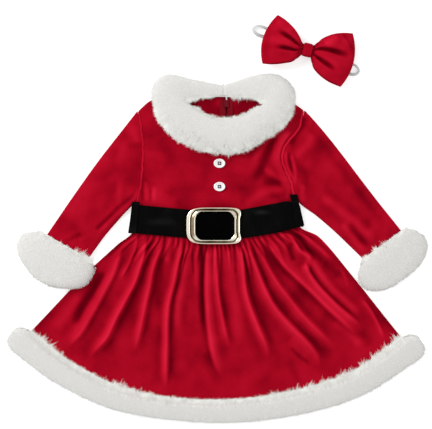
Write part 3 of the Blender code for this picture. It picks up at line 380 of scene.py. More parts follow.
def folded(rows, x, y):
    """Height and painted light that a table of folds gives each point."""
    height, tone = np.zeros_like(x), np.zeros_like(x)
    for row in rows:
        off, share = beside(row.path, x, y)
        fade = ease(-0.02, 0.10, share) * (1 - ease(0.78, 1.0, share))
        if row.steep:
            down = row.steep * off
            slow = (0.55 * np.exp(-(np.maximum(-down - 0.0015, 0.0) / row.soft) ** 1.5)
                    + 0.45 * bell(down, -0.0010, 0.0016))
            rise = np.where(down < 0, bell(down, 0, 1.3 * row.soft), bell(down, 0, 0.55 * row.foot))
            fall = ease(-0.0006, 0.0024, down)
            shade = row.dark * (1 - 0.55 * ease(0.45, 1.0, share))
            glow = (row.light * slow * (1 - fall)
                    - 0.72 * shade * fall * np.exp(-np.maximum(down / row.foot, 0.0) ** 1.4))
            height = np.maximum(height, row.height * rise * fade)
        else:
            rise = bell(off, 0, row.soft)
            rim = bell(np.abs(off), 1.9 * row.soft, 0.8 * row.soft)
            glow = 0.75 * row.light * (rise - 0.2 * rim)
            height = height + row.height * rise * fade
        tone = tone + glow * fade
    return height, np.clip(tone, -1.0, 1.0)


def wander(x, y, length, seed):
    """Soft uneven waves of about that length, between -1 and 1."""
    rng = np.random.default_rng(seed)
    total = np.zeros_like(x)
    for _ in range(7):
        heading, phase = rng.uniform(0, 2 * pi, 2)
        step = 2 * pi / (length * rng.uniform(0.7, 1.5))
        total += np.sin(step * (x * cos(heading) + y * sin(heading)) + phase)
    return total / 4


print("folds:", len(SKIRT_FOLDS) + len(BODICE_FOLDS) + len(BACK_FOLDS))

# %% [markdown]
# ## Shells of cloth
#
# Cloth is a sheet, so it starts as a flat grid. A function places each grid point and may give it
# a painted light value, and the Solidify modifier gives the sheet the thickness of velvet. The
# stored painted light is that value with a share of how far the point stands out from the cloth
# round it, so that crests are painted lighter and dips darker.

# %% Make a sheet
# A point that stands out this far from the cloth round it gets the full painted crest light
PROUD = 0.0012


def only(obj, *others):
    """Selects these objects and no others, with the first one active."""
    bpy.ops.object.select_all(action="DESELECT")
    for each in (obj, *others):
        each.select_set(True)
    bpy.context.view_layer.objects.active = obj


def primitive(name, operator, **words):
    """A new mesh object from one of Blender's primitives."""
    bpy.ops.object.select_all(action="DESELECT")
    operator(**words)
    obj = bpy.context.object
    obj.name = obj.data.name = name
    return obj


def put_points(obj, points):
    obj.data.vertices.foreach_set("co", np.ascontiguousarray(points, dtype=np.float32).ravel())
    obj.data.update()


def blur(rows, reach_v, reach_u):
    for axis, reach in ((0, reach_v), (1, reach_u)):
        for _ in range(2):
            pad = [(reach, reach) if a == axis else (0, 0) for a in (0, 1)]
            wide = np.pad(rows, pad, mode="edge")
            size = rows.shape[axis]
            rows = sum(np.take(wide, range(k, k + size), axis=axis) for k in range(2 * reach + 1))
            rows = rows / (2 * reach + 1)
    return rows


def store(obj, name, values):
    attribute = obj.data.attributes.new(name, "FLOAT", "POINT")
    attribute.data.foreach_set("value", np.ascontiguousarray(values, dtype=np.float32).ravel())


def grid(name, across, along, place, painted_light_and_mottle=None):
    """A grid whose points go where place(u, v) puts them, with its painted light stored."""
    obj = primitive(name, bpy.ops.mesh.primitive_grid_add, x_subdivisions=across,
                    y_subdivisions=along, size=1.0)
    flat = np.empty(3 * len(obj.data.vertices), np.float32)
    obj.data.vertices.foreach_get("co", flat)
    flat = flat.reshape(-1, 3).astype(float) + 0.5
    columns = place(np.clip(flat[:, 0], 0, 1), np.clip(flat[:, 1], 0, 1))
    put_points(obj, np.array(columns[:3]).T)
    if painted_light_and_mottle:
        heights = columns[2].reshape(along + 1, across + 1)
        proud = np.clip((heights - blur(heights, *painted_light_and_mottle)) / PROUD, -1, 1).ravel()
        store(obj, "painted_light_and_mottle", 0.35 * proud + columns[3] if len(columns) > 3 else 0.85 * proud)
    return obj


def apply_all(obj):
    only(obj)
    for modifier in list(obj.modifiers):
        bpy.ops.object.modifier_apply(modifier=modifier.name)


def in_edit(obj, *steps):
    """Runs edit-mode operators on all of an object's faces."""
    only(obj)
    bpy.ops.object.mode_set(mode="EDIT")
    bpy.ops.mesh.select_all(action="SELECT")
    for step in steps:
        step()
    bpy.ops.object.mode_set(mode="OBJECT")


def merge():
    bpy.ops.mesh.remove_doubles(threshold=2e-6)


def outward():
    bpy.ops.mesh.normals_make_consistent(inside=False)


def finish(obj, material, slot, replaces=()):
    """Smooth shading, its material, and its place on the garment, which carries every piece."""
    obj.data.materials.clear()
    obj.data.materials.append(material)
    obj.data.polygons.foreach_set("use_smooth", [True] * len(obj.data.polygons))
    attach(obj, "garment")
    if replaces:
        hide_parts(*replaces)
    return obj


def thicken(obj, thick, offset):
    """Gives a sheet its thickness and returns its one-sided area."""
    flat_area = sum(polygon.area for polygon in obj.data.polygons)
    solidify = obj.modifiers.new("Thickness", "SOLIDIFY")
    solidify.thickness, solidify.offset = thick, offset
    solidify.use_even_offset = True
    solidify.thickness_clamp = 1.2
    apply_all(obj)
    return flat_area


# %% [markdown]
# There are three ways to turn the faces of a sheet the right way before it gets its thickness. An
# open sheet looks up. A tube is a grid whose two long sides are brought together and merged. A
# bow's wing is a loop whose highest face looks up. Every sheet then says the size of its cut.

# %% Sew a piece
def as_open(obj):
    normals = np.empty(3 * len(obj.data.polygons), np.float32)
    obj.data.polygons.foreach_get("normal", normals)
    if normals.reshape(-1, 3)[:, 2].mean() < 0:
        in_edit(obj, bpy.ops.mesh.flip_normals)
    return 1.0


def as_tube(obj):
    in_edit(obj, merge, outward)
    return -1.0


def as_loop(obj):
    in_edit(obj, outward)
    highest = max(obj.data.polygons, key=lambda polygon: polygon.center.z)
    if highest.normal.z < 0:
        in_edit(obj, bpy.ops.mesh.flip_normals)
    return -1.0


def sew(node, cuts, place, painted_light_and_mottle, turned=as_open, thick=CLOTH,
        look=None):
    """A piece of cloth for a solid, which says the size of its flat cut."""
    obj = grid(node + "_cloth", *cuts, place, painted_light_and_mottle)
    cloth_area = thicken(obj, thick, turned(obj))
    finish(obj, *(look or RED), replaces=(node,))
    print(node + ":", len(obj.data.polygons), "faces,", round(1e4 * cloth_area, 1), "cm2")
    return obj


# %% [markdown]
# ## Velvet
#
# Velvet is a short dense pile on a woven ground. Seen along the pile it drinks the light, and
# seen across it, on crests and turned edges, it glows. The Principled shader has a sheen for
# that rim of light. The rest is a colour that follows the stored painted light, painted lighter on
# crests and darker in dips and folds, a soft mottling where hands have brushed the pile about, and
# a fine grain. The mottling and the grain are used by every cloth here, so they live in one node
# group.

# %% Shared cloth grain
def new_group(name, inputs, outputs):
    group = bpy.data.node_groups.new(name, "ShaderNodeTree")
    for label, default in inputs:
        socket = group.interface.new_socket(label, in_out="INPUT", socket_type="NodeSocketFloat")
        socket.default_value = default
    for label in outputs:
        group.interface.new_socket(label, in_out="OUTPUT", socket_type="NodeSocketFloat")
    return group, group.nodes.new("NodeGroupInput"), group.nodes.new("NodeGroupOutput")


def feed(tree, value, socket):
    """Links an output to a socket, or sets the socket to a number."""
    if isinstance(value, (int, float)):
        socket.default_value = value
    else:
        tree.links.new(value, socket)


def noise(tree, vector, scale, detail):
    node = tree.nodes.new("ShaderNodeTexNoise")
    node.inputs["Detail"].default_value = detail
    feed(tree, scale, node.inputs["Scale"])
    feed(tree, vector, node.inputs["Vector"])
    return node.outputs["Fac"]


def object_noise(tree, scale, detail):
    return noise(tree, tree.nodes.new("ShaderNodeTexCoord").outputs["Object"], scale, detail)


def maths(tree, operation, first, second):
    node = tree.nodes.new("ShaderNodeMath")
    node.operation = operation
    feed(tree, first, node.inputs[0])
    feed(tree, second, node.inputs[1])
    return node.outputs[0]


def swing(tree, value, middle, size):
    """How far a value is from its middle, times a size."""
    return maths(tree, "MULTIPLY", maths(tree, "SUBTRACT", value, middle), size)


def added(tree, *values):
    result = values[0]
    for value in values[1:]:
        result = maths(tree, "ADD", result, value)
    return result


pile_group, group_in, group_out = new_group(
    "Cloth pile", (("Mottle scale", 60.0), ("Grain scale", 1600.0)), ("Mottle", "Grain"))
pile_place = pile_group.nodes.new("ShaderNodeTexCoord").outputs["Object"]
for k, detail in enumerate((3.0, 1.0)):
    feed(pile_group, noise(pile_group, pile_place, group_in.outputs[k], detail),
         group_out.inputs[k])


def new_material(name, **values):
    """A material with constant values set on the Principled shader itself."""
    material = bpy.data.materials.new(name)
    material.use_nodes = True
    shader = material.node_tree.nodes["Principled BSDF"]
    for label, value in values.items():
        shader.inputs[label.replace("_", " ")].default_value = value
    return material, material.node_tree, shader


def colour(tree, shader, factor, stops):
    """Base colour from a ramp with (position, colour) stops."""
    node = tree.nodes.new("ShaderNodeValToRGB")
    elements = node.color_ramp.elements
    while len(elements) < len(stops):
        elements.new(0.5)
    for element, (position, value) in zip(elements, stops):
        element.position, element.color = position, (*value, 1.0)
    feed(tree, factor, node.inputs[0])
    feed(tree, node.outputs["Color"], shader.inputs["Base Color"])


def bump(tree, shader, height, distance, strength=1.0):
    node = tree.nodes.new("ShaderNodeBump")
    node.inputs["Distance"].default_value = distance
    node.inputs["Strength"].default_value = strength
    feed(tree, height, node.inputs["Height"])
    feed(tree, node.outputs["Normal"], shader.inputs["Normal"])


def attribute(tree, name):
    node = tree.nodes.new("ShaderNodeAttribute")
    node.attribute_name = name
    return node.outputs["Fac"]


def cloth_pile(tree, *scales):
    """The shared group's mottling and grain at these scales."""
    node = tree.nodes.new("ShaderNodeGroup")
    node.node_tree = pile_group
    for socket, value in zip(node.inputs, scales):
        socket.default_value = value
    return node.outputs["Mottle"], node.outputs["Grain"]


def mottled(name, scale, detail, stops, **values):
    """A material whose colour wanders with a noise."""
    material, tree, shader = new_material(name, **values)
    colour(tree, shader, object_noise(tree, scale, detail), stops)
    return material


def woven(name, scales, stops, depth, strength, **values):
    """A material whose colour and bump follow the shared grain."""
    material, tree, shader = new_material(name, **values)
    _, grain = cloth_pile(tree, *scales)
    colour(tree, shader, grain, stops)
    bump(tree, shader, grain, depth, strength)
    return material


print("shared group:", pile_group.name)

# %% [markdown]
# The red and the black velvet are one recipe with two ramps that turn the painted light into
# colour. The red one is painted a shaded deep red down in its folds and a lit clear red on its
# crests. The black one hardly takes any light.

# %% Red and black velvet
def velvet(name, stops, sheen, tint):
    material, tree, shader = new_material(
        name, Roughness=0.9, Sheen_Weight=sheen, Sheen_Roughness=0.4, Sheen_Tint=tint,
        Specular_IOR_Level=0.0)
    mottle, grain = cloth_pile(tree, 38.0, 1500.0)
    lie, fine = swing(tree, mottle, 0.5, 0.34), swing(tree, grain, 0.5, 0.22)
    # The stored painted light, with crests painted lighter and folds painted darker
    level = maths(tree, "MULTIPLY", attribute(tree, "painted_light_and_mottle"), 0.37)
    colour(tree, shader, added(tree, level, 0.5, lie, fine), stops)
    bump(tree, shader, grain, 0.0003, 0.4)
    return material


RED = velvet("Red velvet", (
    (0.05, (0.065, 0.0002, 0.0030)),
    (0.27, (0.150, 0.0004, 0.0055)),
    (0.50, (0.310, 0.0022, 0.0118)),
    (0.75, (0.430, 0.0050, 0.0210)),
    (1.00, (0.560, 0.0100, 0.0340)),
), 0.03, (1.0, 0.10, 0.16, 1.0)), "velvet"
BLACK = velvet("Black velvet", (
    (0.20, (0.0010, 0.0010, 0.0010)),
    (0.50, (0.0028, 0.0028, 0.0028)),
    (0.95, (0.0150, 0.0145, 0.0148)),
), 0.004, (0.6, 0.58, 0.58, 1.0)), "belt_velvet"
print("velvets:", RED[0].name, BLACK[0].name)

# %% [markdown]
# ## The dress's back
#
# The back of the dress lies flat on the surface, under everything. It rises a little over the
# belt's back strip, over the zip's pull and over the fur at the hem. It is cut as one skirt panel
# and two bodice halves that meet at the zip.

# %% Heights of the two layers
ONE_LAYER = CLOTH + LAYER_GAP


def back_low(x, y, drop=0.0):
    """Underside of the dress's back."""
    over_belt = (BELT_THICK + GAP) * (1 - ease(0.034, 0.052, np.abs(y - belt_y(x))))
    by_pull = ease(0.098, 0.127, y) * (1 - ease(0.030, 0.062, np.abs(x - ZIP_X)))
    over_hem = HEM_CLOTH_LIFT * ease(0.84, 0.985, drop)
    return np.maximum(np.maximum(over_belt, COLLAR_BACK_LIFT * by_pull), over_hem)


def bodice_level(x, y, across):
    """Underside of the bodice front before its folds: it stands off the back in its middle."""
    at_side = 0.0018 * ease(0.030, 0.060, y) * (1 - ease(0.125, 0.146, y))
    middle = 0.0026 * (0.4 + 0.6 * ease(0.022, 0.044, np.abs(y - belt_y(x))))
    return back_low(x, y) + ONE_LAYER + mix(at_side, middle, 1 - np.abs(2 * across - 1) ** 3)


def bodice_front(x, y, across):
    """Underside of the bodice front, and its light."""
    folds, tone = folded(BODICE_FOLDS, x, y)
    loose = ease(0.021, 0.036, y - belt_y(x)) * inside(0.0, 0.06, across)
    waves = 0.00035 * wander(x, y, 0.024, 3)
    return (bodice_level(x, y, across) + (folds + waves) * loose,
            tone - 0.10 + 0.28 * wander(x, y, 0.042, 4))


# Crests of the gathers under the belt, in millimetres from the middle of the waist seam
GATHER_CRESTS = (-119, -109, -99.5, -89.5, -81, -75.5, -65, -56, -49, -40.5, -35, -26.5, -18, -12.5,
                 -4, 1.5, 7, 12.5, 18, 24, 33, 40.5, 47, 52.5, 60, 68.5, 77, 86, 94, 103.5, 115)
GATHER_HEIGHT = 0.0026


def gathers(across, below):
    """Height and light of the gathers under the waist seam, each with its own reach."""
    at = 1000 * WAIST_HALF * (2 * across - 1)
    phase = np.interp(at, GATHER_CRESTS, np.arange(len(GATHER_CRESTS)) + 0.5)
    index = np.floor(phase)
    part = phase - index
    reach = 0.026 + 0.014 * np.sin(index * 2.3) + 0.008 * np.sin(index * 5.1)
    size = 1.0 + 0.35 * np.sin(index * 1.7)
    fade = 1 - ease(0.4 * reach + 0.02, 1.5 * reach + 0.02, below)
    under_belt = 0.22 + 0.78 * ease(0.0215, 0.034, below)
    height = GATHER_HEIGHT * size * (1 - np.abs(2 * part - 1)) ** 1.35 * under_belt * fade
    # Painted highlight on each crest and painted shade in each valley
    crest = bell(part, 0.5, 0.15) * (0.58 + 0.42 * np.sin(index * 1.9 + 0.7))
    valley = bell(part, 0.84, 0.15) + 0.7 * bell(part, 0.10, 0.12)
    deep = 0.45 + 0.30 * np.sin(index * 2.9)
    return height, (0.72 * crest - deep * valley - 0.06) * fade


def skirt_front(x, y, across, drop):
    """Underside of the skirt front, and its light, which falls off at the two sides."""
    below = belt_y(x) - y
    folds, tone = folded(SKIRT_FOLDS, x, y)
    rows, shine = gathers(across, below)
    folds = ((folds + 0.0007 + 0.0005 * wander(x, y, 0.034, 5)) * ease(0.022, 0.045, below)
             * (1 - 0.75 * ease(0.86, 1.0, drop)))
    puff = 0.0006 * (1 - np.abs(2 * across - 1) ** 4)
    # Painted shade along the skirt's two sides
    at_side = 1 - inside(0.003, 0.024, across)
    return (back_low(x, y, drop) + ONE_LAYER + puff + (folds + rows) * inside(0.01, 0.07, across),
            tone + shine - 0.30 * at_side + 0.12 * wander(x, y, 0.060, 6))


print("gathers:", len(GATHER_CRESTS))

# %% [markdown]
# Each panel is a patch between its four edge curves. The two halves of the bodice are cut along
# the zip, so each is drawn over to its side of the zip, and its turned edge stands up a little
# where the zip is open. The photograph doesn't show the back, so its folds are few and soft.

# %% Back panels
middle = bodice_share(ZIP_X)


def zip_hump(x, y, way):
    """The velvet's turned edge beside the open top of the zip."""
    return 0.0022 * ease(0.142, 0.158, y) * bell(x - ZIP_X, way * 0.0095, 0.006)


def back_half(start_share, end_share, way):
    """One half of the bodice's back; way is -1 left of the zip and +1 right of it."""
    def place(u, v):
        x, y = bodice_point("back_y", mix(start_share, end_share, u), v)
        off_zip = 1 - u if way < 0 else u
        zip_edge = ZIP_X + way * (GAP / 2 + zip_opening(y))
        cut_x = bodice_point("back_y", np.full_like(u, middle), v)[0]
        x = x + (zip_edge - cut_x) * (1 - ease(0.0, 0.4, off_zip))
        folds, tone = folded(BACK_FOLDS, x, y)
        soft = np.maximum(folds, 0.0) * ease(0.05, 0.4, off_zip) * (1 - ease(0.130, 0.145, y))
        # Painted shade on the top of the back, inside the neck under the collar
        return (x, y, back_low(x, y) + zip_hump(x, y, way) + 0.3 * soft,
                tone - 0.4 * ease(0.130, 0.142, y))
    return place


def back_skirt(u, v):
    drop = (1 - v) ** 1.15
    x, y = skirt_point(u, drop)
    folds, tone = folded(BACK_FOLDS, x, y)
    loose = ease(0.0, 0.05, drop - 0.10) * (1 - ease(0.80, 0.96, drop))
    return (x, y, back_low(x, y, drop) + 0.5 * np.maximum(folds, 0.0) * loose,
            tone + 0.8 * gathers(1 - u, belt_y(x) - y)[1])


sew("bodice_back_left", (60, 64), back_half(0.0, middle, -1), (3, 3))
sew("bodice_back_right", (54, 64), back_half(middle, 1.0, 1), (3, 3))
sew("skirt_back", (110, 60), back_skirt, (2, 3))

# %% [markdown]
# ## Bodice front and skirt front
#
# The bodice front is smooth, with soft waves and short pull lines where it is drawn in at the
# waist. The skirt front is gathered into the same seam, so it starts in thirty-one small pleats,
# and most of them die out while a few run on as long folds.

# %% Front panels
def front_bodice(u, v):
    x, y = bodice_point("front_y", u, v)
    return x, y, *bodice_front(x, y, u)


def front_skirt(u, v):
    drop = (1 - v) ** 1.25
    x, y = skirt_point(u, drop)
    return x, y, *skirt_front(x, y, u, drop)


sew("bodice_front", (130, 100), front_bodice, (3, 4))
sew("skirt_front", (344, 100), front_skirt, (2, 6))

# %% [markdown]
# ## Sleeves
#
# Each sleeve is a flattened tube from the armhole to the cuff. Its section is a flat oval with
# tight turns at its fold edges. The sleeve starts a little way up the bodice's side, at the same
# place as the welt of its seam, and soft cross creases lie where it bends and goes into its cuff.

# %% Sleeve tables and shape
# The outer and inner edge at each section, from armhole to wrist
SLEEVE = "SleeveRow", "share outer_x outer_y inner_x inner_y height", "1mmmmm"
SLEEVE_LEFT = table(
    *SLEEVE,
    (0, -108.5, 145, -108.5, 27, 4.9), (0.18, -134.5, 113, -121.5, 9, 6.2),
    (0.4, -164.5, 74.5, -134.5, -6, 6.6), (0.7, -204, 19, -156, -31, 6.4),
    (1, -235.5, -28, -177.5, -61.2, 5.8),
)
SLEEVE_RIGHT = table(
    *SLEEVE,
    (0, 122.5, 146, 109, 30, 4.9), (0.18, 144, 124, 120, 13, 6.2), (0.4, 175, 85, 139, -1, 6.6),
    (0.7, 213, 35, 168, -26, 6.4), (1, 257.7, -22.2, 204.9, -61.9, 5.8),
)
SLEEVE_START = 0.14
WRIST_LIFT = 0.0038
SLEEVE_FOLDS = (
    ridge(1, 0.6, 2.6, -107, 36, -112, 24, -120, 15, -131, 6, -142, -4, -155, -17, -168, -29),
    ridge(-0.5, -0.5, 3, -113, 30, -122, 21, -135, 12, -147, -1, -158, -12, -172, -25, -186, -34,
         -199, -41),
    ridge(0.7, 0.5, 2.8, -166, -20, -179, -30, -193, -38),
    ridge(-0.5, -0.4, 3.5, -188, -26, -200, -33, -212, -40),
    ridge(0.2, 0.3, 18, -134, 112, -170, 60, -205, 8, -222, -16),
    ridge(-0.2, -0.5, 11, -110, 104, -111, 66, -118, 34),
    ridge(0.4, 0.28, 4, -134, 46, -135, 26, -134, 8),
    ridge(0.6, 0.35, 6, -122, 126, -113, 112, -108, 98),
    ridge(-0.3, -0.25, 8, -128, 116, -150, 84),
    ridge(1.8, 0.5, 6.5, 146, 26, 168, 10, 188, -6, 204, -21, 224, -39),
    ridge(1.2, 0.45, 5, 176, -12, 190, -33, 208, -55),
    ridge(-0.4, -0.3, 5, 186, -10, 200, -29, 215, -49),
    ridge(0.8, 0.5, 3.6, 121, 42, 120, 29, 122, 16),
    ridge(1.2, 0.5, 6, 134, 114, 130, 101, 118, 88, 112, 74),
    ridge(-0.8, -0.35, 8, 140, 112, 163, 82, 190, 48, 222, 4, 240, -22),
    ridge(-0.5, -0.3, 6, 118, 72, 124, 56, 128, 36),
    ridge(1.2, 0.75, 2.3, 97, 88, 98, 72, 102, 60, 108, 46),
    ridge(-0.3, -0.4, 2.6, 101, 88, 103, 72, 106, 56),
    ridge(1.2, 0.65, 2.4, 104, 84, 109, 69, 111, 56, 109, 40),
    ridge(-1.2, -0.7, 5, 124, 138, 120, 124, 108, 106, 100, 94),
)


def sleeve(rows, armhole, way):
    """A flattened tube from the armhole to the wrist."""
    hole = side(armhole)

    def place(turn, v):
        front = turn < 0.5
        part = 0.5 - 0.5 * np.cos(pi * (1 - np.abs(1 - 2 * turn)))
        row = section(rows, v)
        x, y = mix(row.outer_x, row.inner_x, part), mix(row.outer_y, row.inner_y, part)
        hole_share = 1 - (1 - SLEEVE_START) * part
        edge_x, edge_y = hole(hole_share)
        run = hole(np.minimum(hole_share + 0.02, 1.0)) - hole(hole_share - 0.02)
        run /= np.hypot(*run)
        near = 1 - ease(0.0, 0.34, v)
        seam = SEAM + 0.0013 * (1 - ease(0.0, 0.14, part))
        x = x + (edge_x + way * run[1] * seam - x) * near
        y = y + (edge_y - way * run[0] * seam - y) * near
        rise = np.sqrt(1 - np.abs(1 - 2 * part) ** 8) * np.where(front, 1, -1)
        z = WRIST_LIFT * ease(0.80, 0.97, v) + row.height * (1 + rise) / 2
        folds, tone = folded(SLEEVE_FOLDS, x, y)
        soft = ((folds + 0.0004 * wander(x, y, 0.022, 8)) * inside(0.03, 0.2, part)
                * ease(0.0, 0.12, v))
        return x, y, z + soft * np.where(front, 1.0, -0.12), tone + 0.12 * wander(x, y, 0.050, 9)
    return place


for name, rows, armhole, way in (("sleeve_left", SLEEVE_LEFT, BODICE_LEFT, -1),
                                 ("sleeve_right", SLEEVE_RIGHT, BODICE_RIGHT, 1)):
    sew(name, (108, 90), sleeve(rows, armhole, way), (3, 4),
        turned=as_tube)

# %% [markdown]
# ## Seams
#
# Where two panels are sewn together the velvet rolls into a narrow welt that catches the light.
# It is drawn as a slim tube along the seam, laid half into the cloth. The same tube, much
# thinner, makes the thread in the buttons and the wire of the zip's coil.

# %% Tubes along lines
WELT_RADIUS, WELT_SUNK = 0.0015, 0.0006


def tube(points, radius, sides):
    """Vertices and faces of a closed tube along points."""
    points = np.asarray(points, float)
    run = np.gradient(points, axis=0)
    run /= np.linalg.norm(run, axis=1)[:, None]
    across = np.cross(run, (0.0, 0.0, 1.0))
    across /= np.maximum(np.linalg.norm(across, axis=1)[:, None], 1e-9)
    up = np.cross(across, run)
    angles = np.arange(sides) * 2 * pi / sides
    ring = (np.cos(angles)[None, :, None] * across[:, None, :]
            + np.sin(angles)[None, :, None] * up[:, None, :])
    verts = (points[:, None, :] + ring * radius).reshape(-1, 3)
    last = (len(points) - 1) * sides
    faces = [(i + k, i + (k + 1) % sides, i + (k + 1) % sides + sides, i + k + sides)
             for i in range(0, last, sides) for k in range(sides)]
    return verts, faces + [tuple(range(sides))[::-1], tuple(range(last, last + sides))]


def joined(name, shapes):
    """One mesh object from several (vertices, faces) shapes."""
    verts, faces, start = [], [], 0
    for shape_verts, shape_faces in shapes:
        verts.append(shape_verts)
        faces += [tuple(start + i for i in face) for face in shape_faces]
        start += len(shape_verts)
    mesh = bpy.data.meshes.new(name)
    mesh.from_pydata(np.concatenate(verts).tolist(), [], faces)
    obj = bpy.data.objects.new(name, mesh)
    scene.collection.objects.link(obj)
    in_edit(obj, outward)
    return obj


def welt(armhole):
    share = np.linspace(SLEEVE_START - 0.01, 0.99, 90)
    x, y = side(armhole)(share)
    z = bodice_front(x, y, bodice_share(x))[0] + CLOTH - WELT_SUNK
    uneven = 0.0005 * np.sin(share * 61) * np.sin(share * 17)
    return tube(np.array([x + uneven, y, z + 0.5 * uneven]).T, WELT_RADIUS, 12)


welts = joined("armhole_seams", [welt(BODICE_LEFT), welt(BODICE_RIGHT)])
# A painted highlight along each welt, fainter on the left seam than on the right
store(welts, "painted_light_and_mottle", np.repeat((0.55, 1.05), len(welts.data.vertices) // 2))
finish(welts, *RED)
print("armhole seams:", len(welts.data.polygons), "faces")

# %% [markdown]
# ## Belt
#
# The belt is a flat tube of black velvet that goes all round the waist, under the dress and back
# over it. It is a closed band: a grid rolled up so that its two ends meet. Its front dips a
# little in the middle, where the buckle draws it together, and it has faint cross dents.

# %% Belt
BELT_LEFT_END, BELT_RIGHT_END, BELT_END_SLANT = -0.1198, 0.1205, 0.0030


def belt_place(turn, v):
    angle, up = 2 * pi * turn, 2 * v - 1
    right, left = BELT_RIGHT_END - BELT_END_SLANT * up, BELT_LEFT_END + BELT_END_SLANT * up
    x = (right + left) / 2 + (right - left) / 2 * np.cos(angle)
    off_bar = np.abs(x - BUCKLE_X)
    middle_z = (BELT_INSIDE_TOP + BELT_THICK) / 2
    into_turn = np.maximum(1 - np.minimum(right - x, x - left) / middle_z, 0.0)
    off_middle = np.sqrt(np.maximum(1 - into_turn ** 2, 0.0))
    front = np.sin(angle) > 0
    over_bar = 0.0024 * (1 - ease(0.004, 0.020, off_bar))
    over_bar = over_bar * (1 - ease(0.70, 0.93, np.abs(up)) * ease(0.0035, 0.0060, off_bar))
    top = BELT_INSIDE_TOP + BELT_THICK + over_bar
    z = middle_z + np.where(front, top - middle_z, -middle_z) * off_middle
    waisted = 0.0008 * (1 - ease(0.0035, 0.0070, off_bar)) * front
    y = belt_y(x) + up * (column(BELT_LINE, "half_width", x) - waisted)
    dents = 0.00035 * wander(x, y * 0.4, 0.016, 12) * off_middle * ease(0.030, 0.045, np.abs(x))
    # Painted sheen in two soft patches, and painted shade on the belt inside the buckle's frame
    shine = (0.9 * bell(x, 0.064, 0.010) * bell(y, 0.003, 0.0030)
             + 0.5 * bell(x, -0.077, 0.016) * bell(y, -0.0105, 0.0050))
    in_frame = 1 - ease(0.021, 0.027, off_bar)
    return x, y, z + np.where(front, dents, 0.0), shine - 0.10 - in_frame


sew("belt", (300, 22), belt_place, (2, 5),
    turned=as_tube, thick=BELT_THICK, look=BLACK)

# %% [markdown]
# A narrow loop of the same velvet holds the belt at either side. It goes over the belt and down
# to the cloth above and below it, with a slight crown across its width.

# %% Belt loops
# The middle of each end
BELT_LOOPS = table(
    "Loop", "top_x top_y low_x low_y", "mmmm",
    (-111.5, 17.4, -116.5, -26.2), (108, 28, 116.5, -17.2),
)
BELT_LOOP_WIDTH, BELT_LOOP_THICK = 0.0105, 0.0012


def loop_place(loop):
    def place(u, v):
        t = 1 - v
        x = mix(loop.top_x, loop.low_x, t) + (u - 0.5) * BELT_LOOP_WIDTH
        y = mix(loop.top_y, loop.low_y, t)
        off = np.abs(y - belt_y(loop.top_x)) - column(BELT_LINE, "half_width", loop.top_x)
        over = BELT_INSIDE_TOP + BELT_THICK + GAP + CLEARANCE
        on_cloth = CLOTH + ONE_LAYER + GAP + BELT_THICK + 0.0020
        crown = 0.0003 * (1 - (2 * u - 1) ** 4)
        return x, y, mix(over, on_cloth, ease(0.0008, 0.0065, off)) + crown
    return place


for name, loop in zip(("belt_loop_left", "belt_loop_right"), BELT_LOOPS):
    sew(name, (12, 60), loop_place(loop), (2, 2),
        thick=BELT_LOOP_THICK, look=BLACK)

# %% [markdown]
# ## Buckle
#
# The buckle is a die-cast frame with a middle bar, which the belt goes over. Its rail has a high
# outer lip, a groove and a lower inner lip, and it is wider on the left than on the right. A
# torus already has the right kind of surface, so its rings are moved onto the rail's section. The
# outer outline is a squared-off oval with two flared corners, and the hole is a rectangle with
# its corners cut off. The lips table also says how much light each line of the rail takes on
# each of its four sides.

# %% Buckle frame
BUCKLE_HALF_X, BUCKLE_HALF_Y = 0.0387, 0.0257
HOLE_HALF_X, HOLE_HALF_Y, HOLE_SHIFT = 0.0268, 0.0196, 0.0011
BUCKLE_Z, BUCKLE_HEIGHT = 0.0093, 0.0042
# All six columns in hundredths
BUCKLE_LIPS = table(
    "Lip", "across height left top right bottom", "cccccc",
    (0, 0, 30, 30, 30, 30), (0, 30, 50, 45, 60, 45), (0, 66, 88, 66, 95, 86),
    (4, 86, 94, 84, 100, 96), (10, 97, 92, 88, 96, 95), (20, 100, 90, 80, 86, 80),
    (30, 100, 88, 42, 84, 45), (37, 94, 72, 32, 66, 36), (42, 80, 8, 30, 12, 32),
    (48, 60, 6, 34, 6, 30), (54, 54, 34, 38, 8, 34), (61, 58, 44, 40, 34, 42),
    (68, 72, 42, 36, 60, 46), (76, 80, 46, 44, 66, 64), (84, 80, 60, 72, 66, 84),
    (92, 76, 70, 84, 70, 90), (97, 62, 64, 66, 60, 80), (100, 40, 30, 30, 30, 40),
    (100, 0, 10, 10, 10, 10), (75, 0, 10, 10, 10, 10), (50, 0, 10, 10, 10, 10),
    (25, 0, 10, 10, 10, 10),
)


def buckle_outer(heading):
    """The outer outline: fuller on its left, squarer on its right with two flared corners."""
    square = 5.2 + 1.5 * np.cos(heading)
    c, s = np.abs(np.cos(heading)), np.abs(np.sin(heading))
    reach = ((c / BUCKLE_HALF_X) ** square + (s / BUCKLE_HALF_Y) ** square) ** (-1 / square)
    x, y = reach * np.cos(heading), reach * np.sin(heading)
    rise = np.abs(y) / BUCKLE_HALF_Y
    return x - 0.0024 * (1 - ease(0.30, 0.78, rise)) * ease(0.6, 0.9, np.cos(heading)), y


def buckle_hole(heading):
    """The hole: a rectangle with its corners cut off at forty-five degrees."""
    c, s = np.abs(np.cos(heading)), np.abs(np.sin(heading))
    flat = np.maximum(c / HOLE_HALF_X, s / HOLE_HALF_Y)
    cut = (c + s) / (HOLE_HALF_X + HOLE_HALF_Y - 0.0068)
    reach = (flat ** 26 + cut ** 26) ** (-1 / 26)
    return HOLE_SHIFT + reach * np.cos(heading), reach * np.sin(heading)


